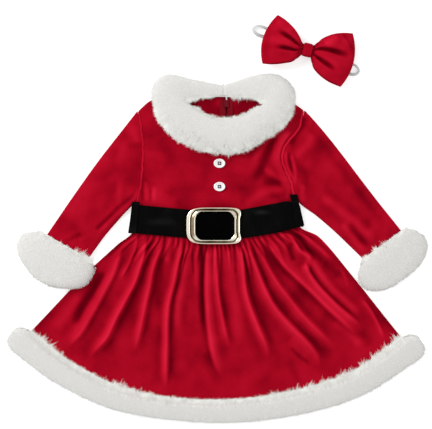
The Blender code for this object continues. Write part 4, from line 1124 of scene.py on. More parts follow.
major, minor = 256, len(BUCKLE_LIPS)
buckle = primitive("buckle_frame", bpy.ops.mesh.primitive_torus_add, major_segments=major,
                   minor_segments=minor)
turns = np.arange(major) / major * 2 * pi
headings = np.repeat(np.arctan2(0.70 * np.sin(turns), np.cos(turns)), minor)
across, height, left, top, right, bottom = np.tile(np.array(BUCKLE_LIPS), (major, 1)).T
out_x, out_y = buckle_outer(headings)
in_x, in_y = buckle_hole(headings)
put_points(buckle, np.array([BUCKLE_X + mix(out_x, in_x, across),
                             BUCKLE_Y + mix(out_y, in_y, across),
                             BUCKLE_Z + BUCKLE_HEIGHT * height]).T)
# The shine is painted reflection: each lip's light per side, darker rail patches, corner glints
upright, level = np.abs(in_x - HOLE_SHIFT) / HOLE_HALF_X, np.abs(in_y) / HOLE_HALF_Y
patches = (0.62 * bell(in_x, -0.0035, 0.0060) + 0.30 * bell(in_x, 0.013, 0.003)
           + 0.25 * bell(in_x, -0.019, 0.003))
top_bottom = np.where(in_y > 0, top, bottom) * (1 - patches * bell(across, 0.55, 0.22))
shine = mix(top_bottom, np.where(in_x < 0, left, right), ease(-0.10, 0.10, upright - level))
facet = bell(upright + level, 1.72, 0.09) * ease(0.50, 0.62, across) * ease(0.3, 0.6, height)
store(buckle, "shine", mix(shine, np.where(in_y < 0, 0.95, 0.76), facet))
in_edit(buckle, outward)
print("buckle:", len(buckle.data.polygons), "faces")

# %% [markdown]
# The middle bar and its two lugs sit under the belt's arch. Each is a cube with its edges
# bevelled, and the bar goes under the velvet, so only its ends show from the back.

# %% Buckle bar and its lugs
BAR_WIDTH, BAR_THICK = 0.005, 0.0019


def rounded_block(centre, size, radius):
    obj = primitive("block", bpy.ops.mesh.primitive_cube_add, size=1.0, location=centre)
    obj.scale = size
    bpy.ops.object.transform_apply(location=True, rotation=True, scale=True)
    bevel = obj.modifiers.new("Rounded", "BEVEL")
    bevel.width, bevel.segments = radius, 3
    apply_all(obj)
    return obj


def smooth_by(obj, degrees):
    only(obj)
    bpy.ops.object.shade_smooth_by_angle(angle=radians(degrees))


lug_y = (HOLE_HALF_Y + BUCKLE_HALF_Y) / 2
extras = [rounded_block((BUCKLE_X, BUCKLE_Y, BELT_INSIDE_TOP + BAR_THICK / 2),
                        (BAR_WIDTH, 2 * lug_y + 0.002, BAR_THICK), 0.0004)]
for way in (-1, 1):
    extras.append(rounded_block((BUCKLE_X, BUCKLE_Y + way * lug_y, BELT_INSIDE_TOP + 0.0018),
                                (BAR_WIDTH - 0.0004, 0.0024, 0.0035), 0.0003))
only(buckle, *extras)
bpy.ops.object.join()

# The gold's base colour is that painted reflection, from a dark groove to bright cream lips
gold, gold_tree, gold_shader = new_material("Pale gold", Metallic=1.0)
brushed = object_noise(gold_tree, 260.0, 3.0)
colour(gold_tree, gold_shader,
       maths(gold_tree, "ADD", attribute(gold_tree, "shine"), swing(gold_tree, brushed, 0.5, 0.16)),
       ((0.05, (0.035, 0.022, 0.014)), (0.28, (0.14, 0.095, 0.060)),
        (0.48, (0.40, 0.30, 0.205)), (0.66, (0.66, 0.64, 0.50)),
        (0.85, (1.00, 0.93, 0.70)), (1.00, (1.00, 1.00, 0.92))))
feed(gold_tree, maths(gold_tree, "ADD", maths(gold_tree, "MULTIPLY", brushed, 0.06), 0.19),
     gold_shader.inputs["Roughness"])
bump(gold_tree, gold_shader, brushed, 0.00005, 0.1)
finish(buckle, gold, "buckle_gold", replaces=("buckle",))
smooth_by(buckle, 35)
print("buckle with its bar:", len(buckle.data.polygons), "faces")

# %% [markdown]
# ## Buttons
#
# The two buttons are glossy plastic with a raised rim round a shallow dish and four holes, sewn
# on with dark thread. A cylinder is inset and pushed in for the dish, bevelled, squashed to the
# oval that the photograph shows, and drilled. The thread goes round the four holes as a square.

# %% Buttons
BUTTON_X, BUTTON_YS = 0.0048, {"button_top": 0.0714, "button_bottom": 0.0389}
BUTTON_HALF_X, BUTTON_HALF_Y = 0.0080, 0.0064
BUTTON_HOLE_RADIUS = 0.0009
BUTTON_STEP_X, BUTTON_STEP_Y = 0.0017, 0.0017 * 1.25
SQUASH = BUTTON_HALF_Y / BUTTON_HALF_X
THREAD_RADIUS, THREAD_OFF = 0.00030, 0.00028


def button_body(name, centre):
    obj = primitive(name, bpy.ops.mesh.primitive_cylinder_add, vertices=72, radius=BUTTON_HALF_X,
                    depth=0.0022)
    bpy.ops.object.mode_set(mode="EDIT")
    bpy.ops.mesh.select_mode(type="FACE")
    for way, insets in ((1, ((0.0019, 0.0), (0.0010, -0.0009))), (-1, ((0.0014, 0.0),))):
        bpy.ops.mesh.select_all(action="DESELECT")
        bpy.ops.object.mode_set(mode="OBJECT")
        for polygon in obj.data.polygons:
            polygon.select = polygon.normal.z * way > 0.9
        bpy.ops.object.mode_set(mode="EDIT")
        for thickness, depth in insets:
            bpy.ops.mesh.inset(thickness=thickness, depth=depth)
    bpy.ops.transform.translate(value=(0, 0, -0.0004))
    bpy.ops.object.mode_set(mode="OBJECT")
    holes = [primitive("hole", bpy.ops.mesh.primitive_cylinder_add, vertices=20,
                       radius=BUTTON_HOLE_RADIUS, depth=0.02,
                       location=(dx * BUTTON_STEP_X, dy * BUTTON_STEP_Y, 0))
             for dx in (-1, 1) for dy in (-1, 1)]
    only(*holes)
    bpy.ops.object.join()
    bevel = obj.modifiers.new("Rounded rim", "BEVEL")
    bevel.width, bevel.segments = 0.00055, 4
    drill = obj.modifiers.new("Holes", "BOOLEAN")
    drill.operation, drill.object = "DIFFERENCE", holes[0]
    apply_all(obj)
    bpy.data.objects.remove(holes[0])
    in_edit(obj, lambda: bpy.ops.transform.resize(value=(1, SQUASH, 1)),
            lambda: bpy.ops.transform.translate(value=centre))
    return obj


def thread_square(button_y, low):
    """Two strands along each side of the square of holes, arching over the plastic."""
    t = np.linspace(0, 1, 9)
    arch = low + 0.0017 + 0.0010 * np.sin(pi * t) ** 0.5
    corners = np.array([(-1, -1), (1, -1), (1, 1), (-1, 1)])
    for (ax, ay), (bx, by) in zip(corners, np.roll(corners, -1, axis=0)):
        for off in (-THREAD_OFF, THREAD_OFF):
            off_x, off_y = (0, off) if ay == by else (off, 0)
            yield tube(np.array([BUTTON_X + mix(ax, bx, t) * BUTTON_STEP_X + off_x,
                                 button_y + mix(ay, by, t) * BUTTON_STEP_Y * SQUASH + off_y,
                                 arch]).T, THREAD_RADIUS, 6)


pearl = mottled("White button", 240.0, 2.0, ((0.3, (0.76, 0.74, 0.73)), (0.7, (0.86, 0.85, 0.84))),
                Roughness=0.24, Coat_Weight=0.5, Coat_Roughness=0.08)
thread = mottled("Dark thread", 2600.0, 1.0,
                 ((0.3, (0.016, 0.014, 0.018)), (0.7, (0.050, 0.046, 0.052))), Roughness=0.8)
for name, button_y in BUTTON_YS.items():
    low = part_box(name)[0][2]
    button = button_body(name + "_pearl", (BUTTON_X, button_y, low + 0.0015))
    finish(button, pearl, "button_pearl", replaces=(name,))
    smooth_by(button, 40)
    finish(joined(name + "_thread", thread_square(button_y, low)), thread, "button_pearl")
print("buttons made, low at", round(1000 * low, 2), "mm")

# %% [markdown]
# ## Zip
#
# The zip closes the back. From above only its top shows inside the neck: dark red tape, the coil
# and the slider. The tapes are narrow sheets, and the coil is one small wire loop, copied along
# both tape edges. The slider and its pull keep their solids and get a lacquered finish.

# %% Zip
TAPE_WIDTH, TAPE_THICK = 0.009, 0.0010
COIL_PITCH, COIL_WIRE = 0.0013, 0.00026
tape = woven("Zip tape", (200.0, 2400.0),
             ((0.3, (0.15, 0.0008, 0.006)), (0.7, (0.21, 0.0020, 0.009))),
             0.0003, 0.6, Roughness=0.9, Specular_IOR_Level=0.1)
lacquer = mottled("Red lacquer", 420.0, 3.0,
                  ((0.35, (0.10, 0.003, 0.009)), (0.75, (0.17, 0.006, 0.016))),
                  Metallic=0.0, Roughness=0.6, Specular_IOR_Level=0.05)


def tape_place(way):
    def place(u, v):
        y = mix(ZIP_BOTTOM_Y, ZIP_TOP_Y, v)
        x = ZIP_X + way * (GAP + zip_opening(y)) + way * (TAPE_WIDTH - zip_opening(y)) * u
        return x, y, back_low(x, y) + zip_hump(x, y, way) + CLOTH + GAP
    return place


def coil_loops():
    t = np.linspace(0, 1, 6)
    for way in (-1, 1):
        for y in np.arange(ZIP_BOTTOM_Y, ZIP_TOP_Y, COIL_PITCH):
            x = ZIP_X + way * float(zip_opening(y))
            z = float(back_low(np.array(x), np.array(y))) + CLOTH + GAP + TAPE_THICK
            yield tube(np.array([x + way * (0.0002 + 0.0017 * t), np.full(6, y + 0.0003 * way),
                                 z + 0.0007 * np.sin(pi * t) ** 0.6]).T, COIL_WIRE, 5)


for name, way in (("zip_tape_left", -1), ("zip_tape_right", 1)):
    sew(name, (8, 80), tape_place(way), (2, 2),
        thick=TAPE_THICK, look=(tape, "zip_tape"))
coil = finish(joined("zip_coil", coil_loops()), lacquer, "zip_tape")
for name in ("zip_slider", "zip_pull"):
    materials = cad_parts[name].data.materials
    materials.clear()
    materials.append(lacquer)
print("zip coil:", len(coil.data.polygons), "faces")

# %% [markdown]
# ## White fur trim
#
# The collar, cuffs and hem are long-pile plush. Its hair clings together in tufts that lean and
# curl a little, and at the edges it spills over the red velvet. A padded base gives the body.
# Over it, tufts are set evenly, no two closer than about two millimetres, and each is a bunch of
# slim two-triangle blades that start wide apart and meet near their tips. Blender's own hair
# could grow there too, but a mesh goes into the export with everything else.
#
# The blades take their shading from the tuft's own round form, which makes soft lumps instead
# of glitter. They cast no shadow of their own: so many hard little shadows would turn the plush
# grey, and the padded base casts the shadow of the whole. Each blade is painted darker towards its
# root instead, painted shade where the hairs would shade each other. The hair is built from
# arrays, because there are tens of thousands of blades.

# %% Tufts of hair
FUR_DEPTH = 0.0046
BASE_INSET = 0.0026
HAIR_WIDTH = 0.00042
HAIR_LENGTH = 0.0102
TUFT_RADIUS, TUFT_SPACING = 0.00125, 0.0021
FLOOR_CLEAR = 0.0001
FLAT = (1.0, 1.0, 0.0)

fur, fur_tree, fur_shader = new_material(
    "White plush", Roughness=1.0, Sheen_Weight=0.35, Sheen_Roughness=0.6, Specular_IOR_Level=0.0)
# Colour from painted shade at the hair's roots, each tuft's own tone and painted shade, and a
# mottle
cloudy = object_noise(fur_tree, 95.0, 3.0)
strand = added(fur_tree, attribute(fur_tree, "strand"),
               maths(fur_tree, "MULTIPLY", attribute(fur_tree, "tuft"), 0.20),
               swing(fur_tree, cloudy, 0.54, 1.5))
colour(fur_tree, fur_shader, strand,
       ((0.0, (0.36, 0.34, 0.325)), (0.4, (0.545, 0.535, 0.51)), (0.75, (0.645, 0.652, 0.615)),
        (1.0, (0.735, 0.745, 0.705))))
ground = woven("Plush ground", (260.0, 900.0),
               ((0.3, (0.56, 0.55, 0.53)), (0.7, (0.68, 0.67, 0.65))),
               0.001, 0.8, Roughness=1.0, Specular_IOR_Level=0.05)


def unit(vectors):
    return vectors / np.maximum(np.linalg.norm(vectors, axis=-1, keepdims=True), 1e-12)


def shell_frame(shell, turn, share):
    """Points of a fur shell with the way out of it and the way along it there."""
    point = shell(turn, share, 0.0)
    ahead = shell((turn + 0.004) % 1.0, share, 0.0) - shell((turn - 0.004) % 1.0, share, 0.0)
    along = (shell(turn, np.minimum(share + 0.002, 1.0), 0.0)
             - shell(turn, np.maximum(share - 0.002, 0.0), 0.0))
    inward = shell(turn, share, FUR_DEPTH) - point
    normal = unit(np.cross(unit(ahead.T), unit(along.T)))
    flip = np.where((normal * inward.T).sum(axis=1) > 0, -1.0, 1.0)
    return point.T, normal * flip[:, None], unit(along.T)


def scatter(shell, spacing, weight, seed):
    """Places spread evenly over a shell, no two closer than the spacing; weight thins by height."""
    rng = np.random.default_rng(seed)
    across, along = 120, 400
    turn, share = np.meshgrid(np.linspace(0, 1, across + 1), np.linspace(0, 1, along + 1))
    points = shell(turn.ravel() % 1.0, share.ravel(), 0.0).T.reshape(along + 1, across + 1, 3)
    cell = np.cross(points[1:, :-1] - points[:-1, :-1], points[:-1, 1:] - points[:-1, :-1])
    size = np.linalg.norm(cell, axis=2) * weight(((points[1:, 1:] + points[:-1, :-1]) / 2)[..., 2])
    whole = size.sum()
    tries = int(3.2 * whole / spacing ** 2)
    picked = np.searchsorted(np.cumsum(size.ravel()) / whole, rng.random(tries))
    picked = np.minimum(picked, size.size - 1)
    u = (picked % across + rng.random(tries)) / across
    v = (picked // across + rng.random(tries)) / along
    spots = shell(u, v, 0.0).T
    taken, kept = {}, []
    for i, key in enumerate(map(tuple, np.floor(spots / spacing).astype(int))):
        near = [taken.get((key[0] + a, key[1] + b, key[2] + c), ())
                for a in (-1, 0, 1) for b in (-1, 0, 1) for c in (-1, 0, 1)]
        if all(np.sum((spots[i] - spots[j]) ** 2) > spacing ** 2 for group in near for j in group):
            taken.setdefault(key, []).append(i)
            kept.append(i)
    return u[kept], v[kept]


def blades(name, roots, tips, normals, bunch, spread, width, seed, gather=0.55, dark=0.0,
           least=0.82, streaks_and_shade=0.0):
    """Bunches of hair from roots to tips: a diamond of two triangles for each hair."""
    rng = np.random.default_rng(seed)
    count = len(roots) * bunch
    base, tip, normal = (np.repeat(part, bunch, axis=0) for part in (roots, tips, normals))
    axis = unit(tip - base)
    across = unit(np.cross(axis, rng.normal(size=(count, 3))))
    angle = rng.uniform(0, 2 * pi, count)[:, None]
    radius = spread * np.sqrt(rng.random(count))[:, None]
    offset = (np.cos(angle) * across + np.sin(angle) * np.cross(axis, across)) * radius
    root = base + offset
    end = mix(base, tip, rng.uniform(least, 1.04, count)[:, None]) + offset * (1 - gather)
    lift = 0.10 * np.linalg.norm(end - root, axis=1)[:, None]
    middle = mix(root, end, 0.55) + normal * lift
    facing = unit(np.cross(axis, normal) + 0.35 * rng.normal(size=(count, 3)))
    rounded_form = unit(normal + 0.30 * offset / spread)
    facing *= np.sign((np.cross(axis, facing) * rounded_form).sum(axis=1) + 1e-9)[:, None]
    verts = np.stack([root, middle - facing * width / 2, end, middle + facing * width / 2], axis=1)
    verts[..., 2] = np.maximum(verts[..., 2], FLOOR_CLEAR)
    mesh = bpy.data.meshes.new(name)
    mesh.vertices.add(4 * count)
    mesh.vertices.foreach_set("co", verts.astype(np.float32).ravel())
    loops = np.arange(4 * count).reshape(-1, 4)[:, [0, 1, 3, 1, 2, 3]].ravel()
    mesh.loops.add(len(loops))
    mesh.loops.foreach_set("vertex_index", loops.astype(np.int32))
    mesh.polygons.add(2 * count)
    mesh.polygons.foreach_set("loop_start", np.arange(0, len(loops), 3, dtype=np.int32))
    mesh.polygons.foreach_set("use_smooth", np.ones(2 * count, bool))
    mesh.update(calc_edges=True)
    mesh.validate()
    mesh.normals_split_custom_set_from_vertices(
        np.repeat(rounded_form, 4, axis=0).astype(np.float32))
    obj = bpy.data.objects.new(name, mesh)
    scene.collection.objects.link(obj)
    # Painted shade: each blade darkest at its root, where hairs would shade it, lightest at its tip
    store(obj, "strand", np.tile((dark, 0.6, 1.0, 0.6), count))
    # Each tuft's own random tone, plus the streaks and painted shade given to it
    store(obj, "tuft", np.repeat(rng.random(len(roots)) + streaks_and_shade, 4 * bunch))
    obj.visible_shadow = obj.visible_diffuse = False
    return finish(obj, fur, "fur")


def hair_over(name, shell, spacing, bunch, comb, seed, weight, streaks_and_shade, length=HAIR_LENGTH):
    """Tufts all over a shell; comb(points, normals) gives how they lean."""
    turn, share = scatter(shell, spacing, weight, seed)
    point, normal, _ = shell_frame(shell, turn, share)
    # At a sharp turn of the shell its way out is unsure, and no tuft grows there
    inward = unit(shell(turn, share, FUR_DEPTH).T - point)
    sure = (normal * inward).sum(axis=1) < -0.15
    point, normal = point[sure], normal[sure]
    x, y = point[:, 0], point[:, 1]
    sway = np.array([wander(x, y, 0.013, seed + 1), wander(x, y, 0.013, seed + 2), 0 * x]).T
    lean = comb(point, normal) + 0.38 * sway
    way = unit(normal + lean)
    reach = length * (0.86 + 0.22 * np.random.default_rng(seed).random(len(x)))[:, None]
    tips = point - way * 0.0006 + lean * 0.0010
    roots = tips - way * reach
    tips[:, 2] = np.maximum(tips[:, 2], 6 * FLOOR_CLEAR)
    roots[:, 2] = np.clip(roots[:, 2], 4 * FLOOR_CLEAR, tips[:, 2])
    lit = unit(normal + ease(-0.4, 0.3, normal[:, 2:]) * (0.0, 0.0, 0.45))
    hair = blades(name, roots, tips, lit, bunch, TUFT_RADIUS, HAIR_WIDTH, seed, streaks_and_shade=streaks_and_shade(x, y))
    print(name + ":", len(x), "tufts,", len(hair.data.polygons), "triangles")


def fringe(name, edges, bunch, seed, spread=0.0020):
    """Loose strands that lie out over the cloth from the edge of a fur piece."""
    roots, ways, lengths, normals = (np.concatenate(part) for part in zip(*edges))
    blades(name, roots, roots + ways * lengths[:, None], unit(0.55 * normals + (0.0, 0.0, 0.6)),
           bunch, spread, 0.65 * HAIR_WIDTH, seed, 0.25, 0.60, 0.40)


def padded_base(node, shell, around, along, closed=False):
    """The body under the hair; a band that isn't closed gets a face over each end."""
    obj = grid(node + "_ground", around, along, lambda u, v: shell(u % 1.0, v, BASE_INSET))
    in_edit(obj, merge)
    if not closed:
        in_edit(obj, lambda: bpy.ops.mesh.select_mode(type="VERT"),
                lambda: bpy.ops.mesh.select_all(action="DESELECT"),
                bpy.ops.mesh.select_non_manifold, bpy.ops.mesh.edge_face_add)
    in_edit(obj, outward)
    finish(obj, ground, "fur", replaces=(node,))


print("fur:", fur.name, "over", ground.name)

# %% [markdown]
# The collar is a thick roll of plush round the neck, open at the middle of the back where the
# zip ends. Its section is a squared-off oval whose inner and outer edges come from a table. The
# hair hangs away from the neck in radiating streaks. Loose strands reach out over the velvet
# from its outer edge in front, and into the neck all along its inner edge.

# %% Collar
COLLAR = table(
    "CollarRow", "section inner_x inner_y outer_x outer_y height", "1mmmmm",
    *((k, *row) for k, row in enumerate((
    (9.5, 162.5, 9, 181.2, 18.5), (-11, 162, -11, 185.5, 19.5), (-26, 160.5, -34, 190, 21.5),
    (-33.5, 158, -64, 196.5, 23.5), (-36, 155.5, -84, 188, 25.5), (-34.5, 153, -91.5, 169, 27),
    (-30, 150, -87, 147, 27), (-24, 146.5, -77, 126.5, 27), (-15, 141, -55, 104, 27),
    (-3, 136, -20, 88, 27), (12, 134.5, 12, 84.4, 27), (28, 136.5, 42, 88.5, 27),
    (40, 140.5, 73, 107.5, 27), (49, 145.5, 94, 122.5, 27), (56.5, 149, 107, 144, 27),
    (61.5, 151.5, 112, 167, 27), (63.5, 154.5, 105, 183, 26.5), (60, 157.5, 90, 194.5, 24.5),
    (50, 160.5, 69, 197.5, 23), (32, 162, 42, 192, 20), (11.5, 162.5, 11, 181.2, 18.5),
    ))))
NECK_MIDDLE = (0.0140, 0.1480, 0.0)


def collar_low(x, y):
    """Underside of the collar: on the bodice, and down on the surface behind the shoulders."""
    on_bodice = bodice_level(x, np.minimum(y, 0.150), bodice_share(x)) + CLOTH + GAP + CLEARANCE
    return on_bodice * (1 - ease(0.1665, 0.1760, y))


def collar_shell(turn, share, inset):
    row = section(COLLAR, share * COLLAR[-1].section)
    width = np.hypot(row.outer_x - row.inner_x, row.outer_y - row.inner_y)
    angle = 2 * pi * turn
    across = 0.5 + (0.5 - inset / width) * power(np.cos(angle), 0.85)
    x, y = mix(row.inner_x, row.outer_x, across), mix(row.inner_y, row.outer_y, across)
    x = x + 0.00165 * ((1 - ease(0.0, 0.02, share)) - ease(0.98, 1.0, share))
    low = collar_low(x, y)
    half = (row.height - low) / 2
    z = low + half + np.maximum(half - inset, 0.0006) * power(np.sin(angle), 0.75)
    return np.array([x, y, z])


def collar_comb(point, normal):
    """Hair hangs down and away from the neck, and falls into it at the inner edge."""
    flat = normal * FLAT
    away = unit((point - NECK_MIDDLE) * (1.0, 1.4, 0.0))
    amount = 0.55 - 0.45 * ease(0.154, 0.166, point[:, 1])
    return 0.35 * flat + away * (amount * ease(-0.6, 0.2, (flat * away).sum(axis=1)))[:, None]


def collar_streaks_and_shade(x, y):
    """Radiating streaks, painted shade towards the front's lower edge, and painted shade in two
    hollows.
    """
    away_x, away_y = x - NECK_MIDDLE[0], y - NECK_MIDDLE[1]
    radius = np.hypot(away_x, away_y)
    edge = ease(0.038, 0.060, radius) * ease(0.0, 0.6, -away_y / radius)
    strands = wander(np.arctan2(away_y, away_x) * 0.060, radius * 0.25, 0.0045, 25)
    shaded = (4.0 * bell(x, 0.0686, 0.007) * bell(y, 0.1670, 0.008)
              + 2.2 * bell(x, -0.0370, 0.008) * bell(y, 0.1640, 0.007))
    return strands * (0.8 + 0.7 * edge) - 2.4 * edge - shaded


def collar_fringe(seed, turn_at, share_from, share_to, count, base, reach, deep=0.0045):
    """Strands from one line along the collar, shorter at the line's two ends."""
    rng = np.random.default_rng(seed)
    share = np.linspace(share_from, share_to, count) + rng.uniform(-0.002, 0.002, count)
    turn = np.full(count, turn_at) + rng.uniform(-0.04, 0.04, count)
    point, normal, along = shell_frame(collar_shell, turn % 1.0, share)
    flat = unit(normal * FLAT + along * rng.normal(0, 0.30, count)[:, None])
    lump = 0.5 + 0.5 * wander(point[:, 0], point[:, 1], 0.014, seed)
    lengths = (base + reach * np.clip(lump, 0.05, 1.2)) * rng.uniform(0.7, 1.25, count)
    lengths *= 0.4 + 0.6 * inside(0.0, 0.12, (share - share_from) / (share_to - share_from))
    ways = unit(flat * FLAT + (0, 0, -0.12))
    return point - flat * deep - (0, 0, 0.4 * deep), ways, lengths, normal


padded_base("collar", collar_shell, 40, 150)
hair_over("collar_hair", collar_shell, TUFT_SPACING, bunch=15, comb=collar_comb, seed=21,
          weight=lambda z: ease(0.001, 0.004, z), streaks_and_shade=collar_streaks_and_shade)
fringe("collar_edge", [collar_fringe(*row) for row in (
    (31, 0.0, 0.27, 0.75, 620, 0.0056, 0.0040),
    (32, 0.05, 0.27, 0.75, 620, 0.0056, 0.0034),
    (35, 0.09, 0.27, 0.75, 560, 0.0056, 0.0030),
    (33, 0.5, 0.24, 0.76, 360, 0.0050, 0.0026),
    (36, 0.44, 0.01, 0.23, 260, 0.0060, 0.0055, 0.0046),
    (37, 0.44, 0.77, 0.99, 260, 0.0060, 0.0055, 0.0046),
)], bunch=9, seed=34)

# %% [markdown]
# A cuff is an oval ring of plush whose long side takes the sleeve in a narrow slot. Its hair is
# fuller at the end that points away from the dress, and clears the skirt's side where they meet.

# %% Cuffs
Cuff = namedtuple("Cuff", "side out x y turn half_length slot_shift fuller shaggy seed")
CUFFS = (
    Cuff("left", -1, -0.2254, -0.0693, radians(-30), 0.0315, 0.0044, -0.0055, 0.15, 41),
    Cuff("right", 1, 0.2454, -0.0672, radians(37), 0.0290, 0.0039, 0.0042, 0.30, 51),
)
# Half widths from the sleeve's side to the hand's side
CUFF_SHAPE = table(
    "CuffRow", "share left right", "1mm",
    (0, 40, 37), (0.07, 47, 40.5), (0.17, 53.4, 48.8), (0.28, 55.7, 52.5), (0.4, 56.6, 55.6),
    (0.55, 54.6, 55), (0.69, 48.6, 52.5), (0.79, 41, 47.5), (0.9, 28, 39.8), (0.96, 18.5, 31),
    (1, 12, 17),
)
CUFF_HEIGHT, CUFF_OVER_SKIRT = 0.0215, 0.0040
SLOT_Z, SLOT_HALF, SLOT_HALF_WIDTH, SLOT_TAPER = 0.0066, 0.0017, 0.034, 0.026


def over_skirt(x, y):
    """How high a cuff must clear the skirt's side where the two lie over each other."""
    result = np.zeros_like(x)
    for rows, way in ((SKIRT_LEFT, -1), (SKIRT_RIGHT, 1)):
        edge_x, edge_y = side(rows)(np.linspace(0, 1, 121))
        here = np.interp(y, edge_y[::-1], edge_x[::-1])
        lift = CUFF_OVER_SKIRT * ease(-0.030, -0.014, np.abs(here) - np.abs(x))
        result = np.where(way * x > 0, lift, result)
    return result


def cuff_shell(cuff):
    c, s = cos(cuff.turn), sin(cuff.turn)

    def shell(turn, wall, inset):
        angle, around = 2 * pi * turn, 2 * pi * (wall % 1.0)
        share = 0.5 - 0.5 * power(np.cos(around), 0.75) * (1 - inset / cuff.half_length)
        thick = 0.5 + 0.5 * power(np.sin(around), 0.75)
        half = SLOT_HALF_WIDTH - SLOT_TAPER * share ** 2
        half = mix(half, column(CUFF_SHAPE, cuff.side, share), thick) - inset * thick
        across = half * power(np.cos(angle), 0.75) + cuff.slot_shift * (1 - ease(0.0, 0.35, share))
        across = across + cuff.fuller * ease(0.0, half, across * cuff.out)
        way = (2 * share - 1) * cuff.half_length
        x, y = cuff.x + c * across + s * way, cuff.y + s * across - c * way
        rise = np.sin(angle)
        rise = np.abs(rise) ** np.where(rise > 0, 0.75, 0.5) * np.sign(rise)
        full = np.where(rise > 0, CUFF_HEIGHT - SLOT_Z, SLOT_Z)
        body = np.maximum((full - SLOT_HALF) * thick - inset * thick, 0.0)
        z = SLOT_Z + rise * (SLOT_HALF + body)
        return np.array([x, y, np.maximum(np.maximum(z, over_skirt(x, y)), 0.0)])
    return shell


def cuff_looks(cuff):
    """How a cuff's hair leans towards the hand, and its streaks, with painted shade beside the
    sleeve.
    """
    c, s = cos(cuff.turn), sin(cuff.turn)

    def comb(point, normal):
        way = ((point[:, 0] - cuff.x) * s - (point[:, 1] - cuff.y) * c) / cuff.half_length
        return 0.45 * normal * FLAT + np.array([s, -c, 0.0]) * np.clip(way, -1, 1)[:, None] * 0.45

    def streaks_and_shade(x, y):
        way, across = (x - cuff.x) * s - (y - cuff.y) * c, (x - cuff.x) * c + (y - cuff.y) * s
        rim = 1 - ease(-0.9, -0.3, way / cuff.half_length)
        return wander(across, way * 0.3, 0.0050, cuff.seed + 3) * (0.8 + 0.5 * rim) - 0.4 * rim
    return comb, streaks_and_shade


def cuff_fringe(cuff, shell, count=460):
    """Strands from the cuff's rim out over the sleeve, longest in one shaggy place."""
    rng = np.random.default_rng(cuff.seed)
    hand = np.array([sin(cuff.turn), -cos(cuff.turn), 0.0])
    turn = np.linspace(0.03, 0.47, count) + rng.uniform(-0.004, 0.004, count)
    point = shell(turn, np.full(count, 0.07), 0.0).T
    lump = np.clip(0.65 + 0.4 * wander(point[:, 0], point[:, 1], 0.01, cuff.seed), 0, 1.2)
    ways = unit(-hand + rng.normal(0, 0.32, (count, 3)) * FLAT + (0, 0, -0.45))
    shaggy = 0.25 + bell(turn, cuff.shaggy, 0.10)
    lengths = 0.0038 + 0.0100 * shaggy * lump ** 1.5 * rng.uniform(0.4, 1.2, count)
    return point - ways * 0.0030, ways, lengths, np.tile(-hand, (count, 1))


for cuff in CUFFS:
    name, shell = "cuff_" + cuff.side, cuff_shell(cuff)
    comb, streaks_and_shade = cuff_looks(cuff)
    padded_base(name, shell, 72, 40, closed=True)
    hair_over(name + "_hair", shell, TUFT_SPACING, bunch=17, comb=comb, seed=cuff.seed,
              weight=lambda z: ease(0.001, 0.003, z), streaks_and_shade=streaks_and_shade)
    fringe(name + "_edge", [cuff_fringe(cuff, shell)], bunch=7, seed=cuff.seed + 5,
           spread=0.0016)

# %% [markdown]
# The hem has two bands of plush, one along the skirt's front and one along its back, and each
# has a rounded end at either side. Their inner edges meet the velvet at the seam. Most of the
# hair leans to the lower edge, and in front loose strands lie up over the seam, longest where
# the photograph shows the plush most shaggy.

# %% Hem
# Width of the fur from the seam to its outer edge
HEM_BAND = table(
    "BandRow", "share width", "1m",
    (0, 40), (0.12, 37), (0.35, 32), (0.5, 33), (0.7, 35), (0.9, 38), (1, 41),
)
HEM_SEAM, HEM_END_LENGTH, HEM_ENDS = 0.00045, 0.021, 0.07


def hem_shell(low, height, seam_z):
    """The band of fur along the hem, with a rounded end past each end of the seam."""
    hem = side(HEM_EDGE)

    def shell(turn, v, inset):
        way = -HEM_ENDS + (1 + 2 * HEM_ENDS) * v
        share = np.clip(way, 0.0, 1.0)
        past = (way - share) / HEM_ENDS
        run = hem(np.minimum(share + 0.01, 1.0)) - hem(np.maximum(share - 0.01, 0.0))
        run = run / np.hypot(*run)
        out = np.array([run[1], -run[0]])
        width = column(HEM_BAND, "width", share)
        shrink = np.sqrt(np.maximum(1 - (np.abs(past) * 0.97) ** 2, 0.0))
        angle = 2 * pi * turn
        keep = np.maximum(0.25 + 0.75 * shrink - 2 * inset / width, 0.05)
        across = 0.5 + 0.5 * power(np.cos(angle), 0.8) * keep
        x, y = (hem(share) + out * (HEM_SEAM + across * width)
                + run * past * (HEM_END_LENGTH - inset * np.abs(past)))
        middle = low + height / 2
        half = np.maximum(height / 2 - inset, 0.0005)
        slope = 0.75 + 0.95 * ease(-0.1, 0.9, -np.cos(angle)) * (np.sin(angle) > 0)
        z = middle + half * power(np.sin(angle), slope) * (0.35 + 0.65 * shrink)
        z = z + (seam_z - middle) * ease(0.5, 1.0, -np.cos(angle))
        return np.array([x, y, np.clip(z, low, low + height)])
    return shell


def hem_comb(point, normal):
    """Hair beside the seam leans out over the velvet, and the rest to the hem's lower edge."""
    to_seam = ease(0.05, 0.55, normal[:, 1:2])
    return (0.5 + 0.8 * to_seam) * normal * FLAT + (1 - to_seam) * (0.0, -0.16, -0.05)


def hem_streak(x, y):
    return 1.1 * wander(x, y * 0.25, 0.0065, 66)


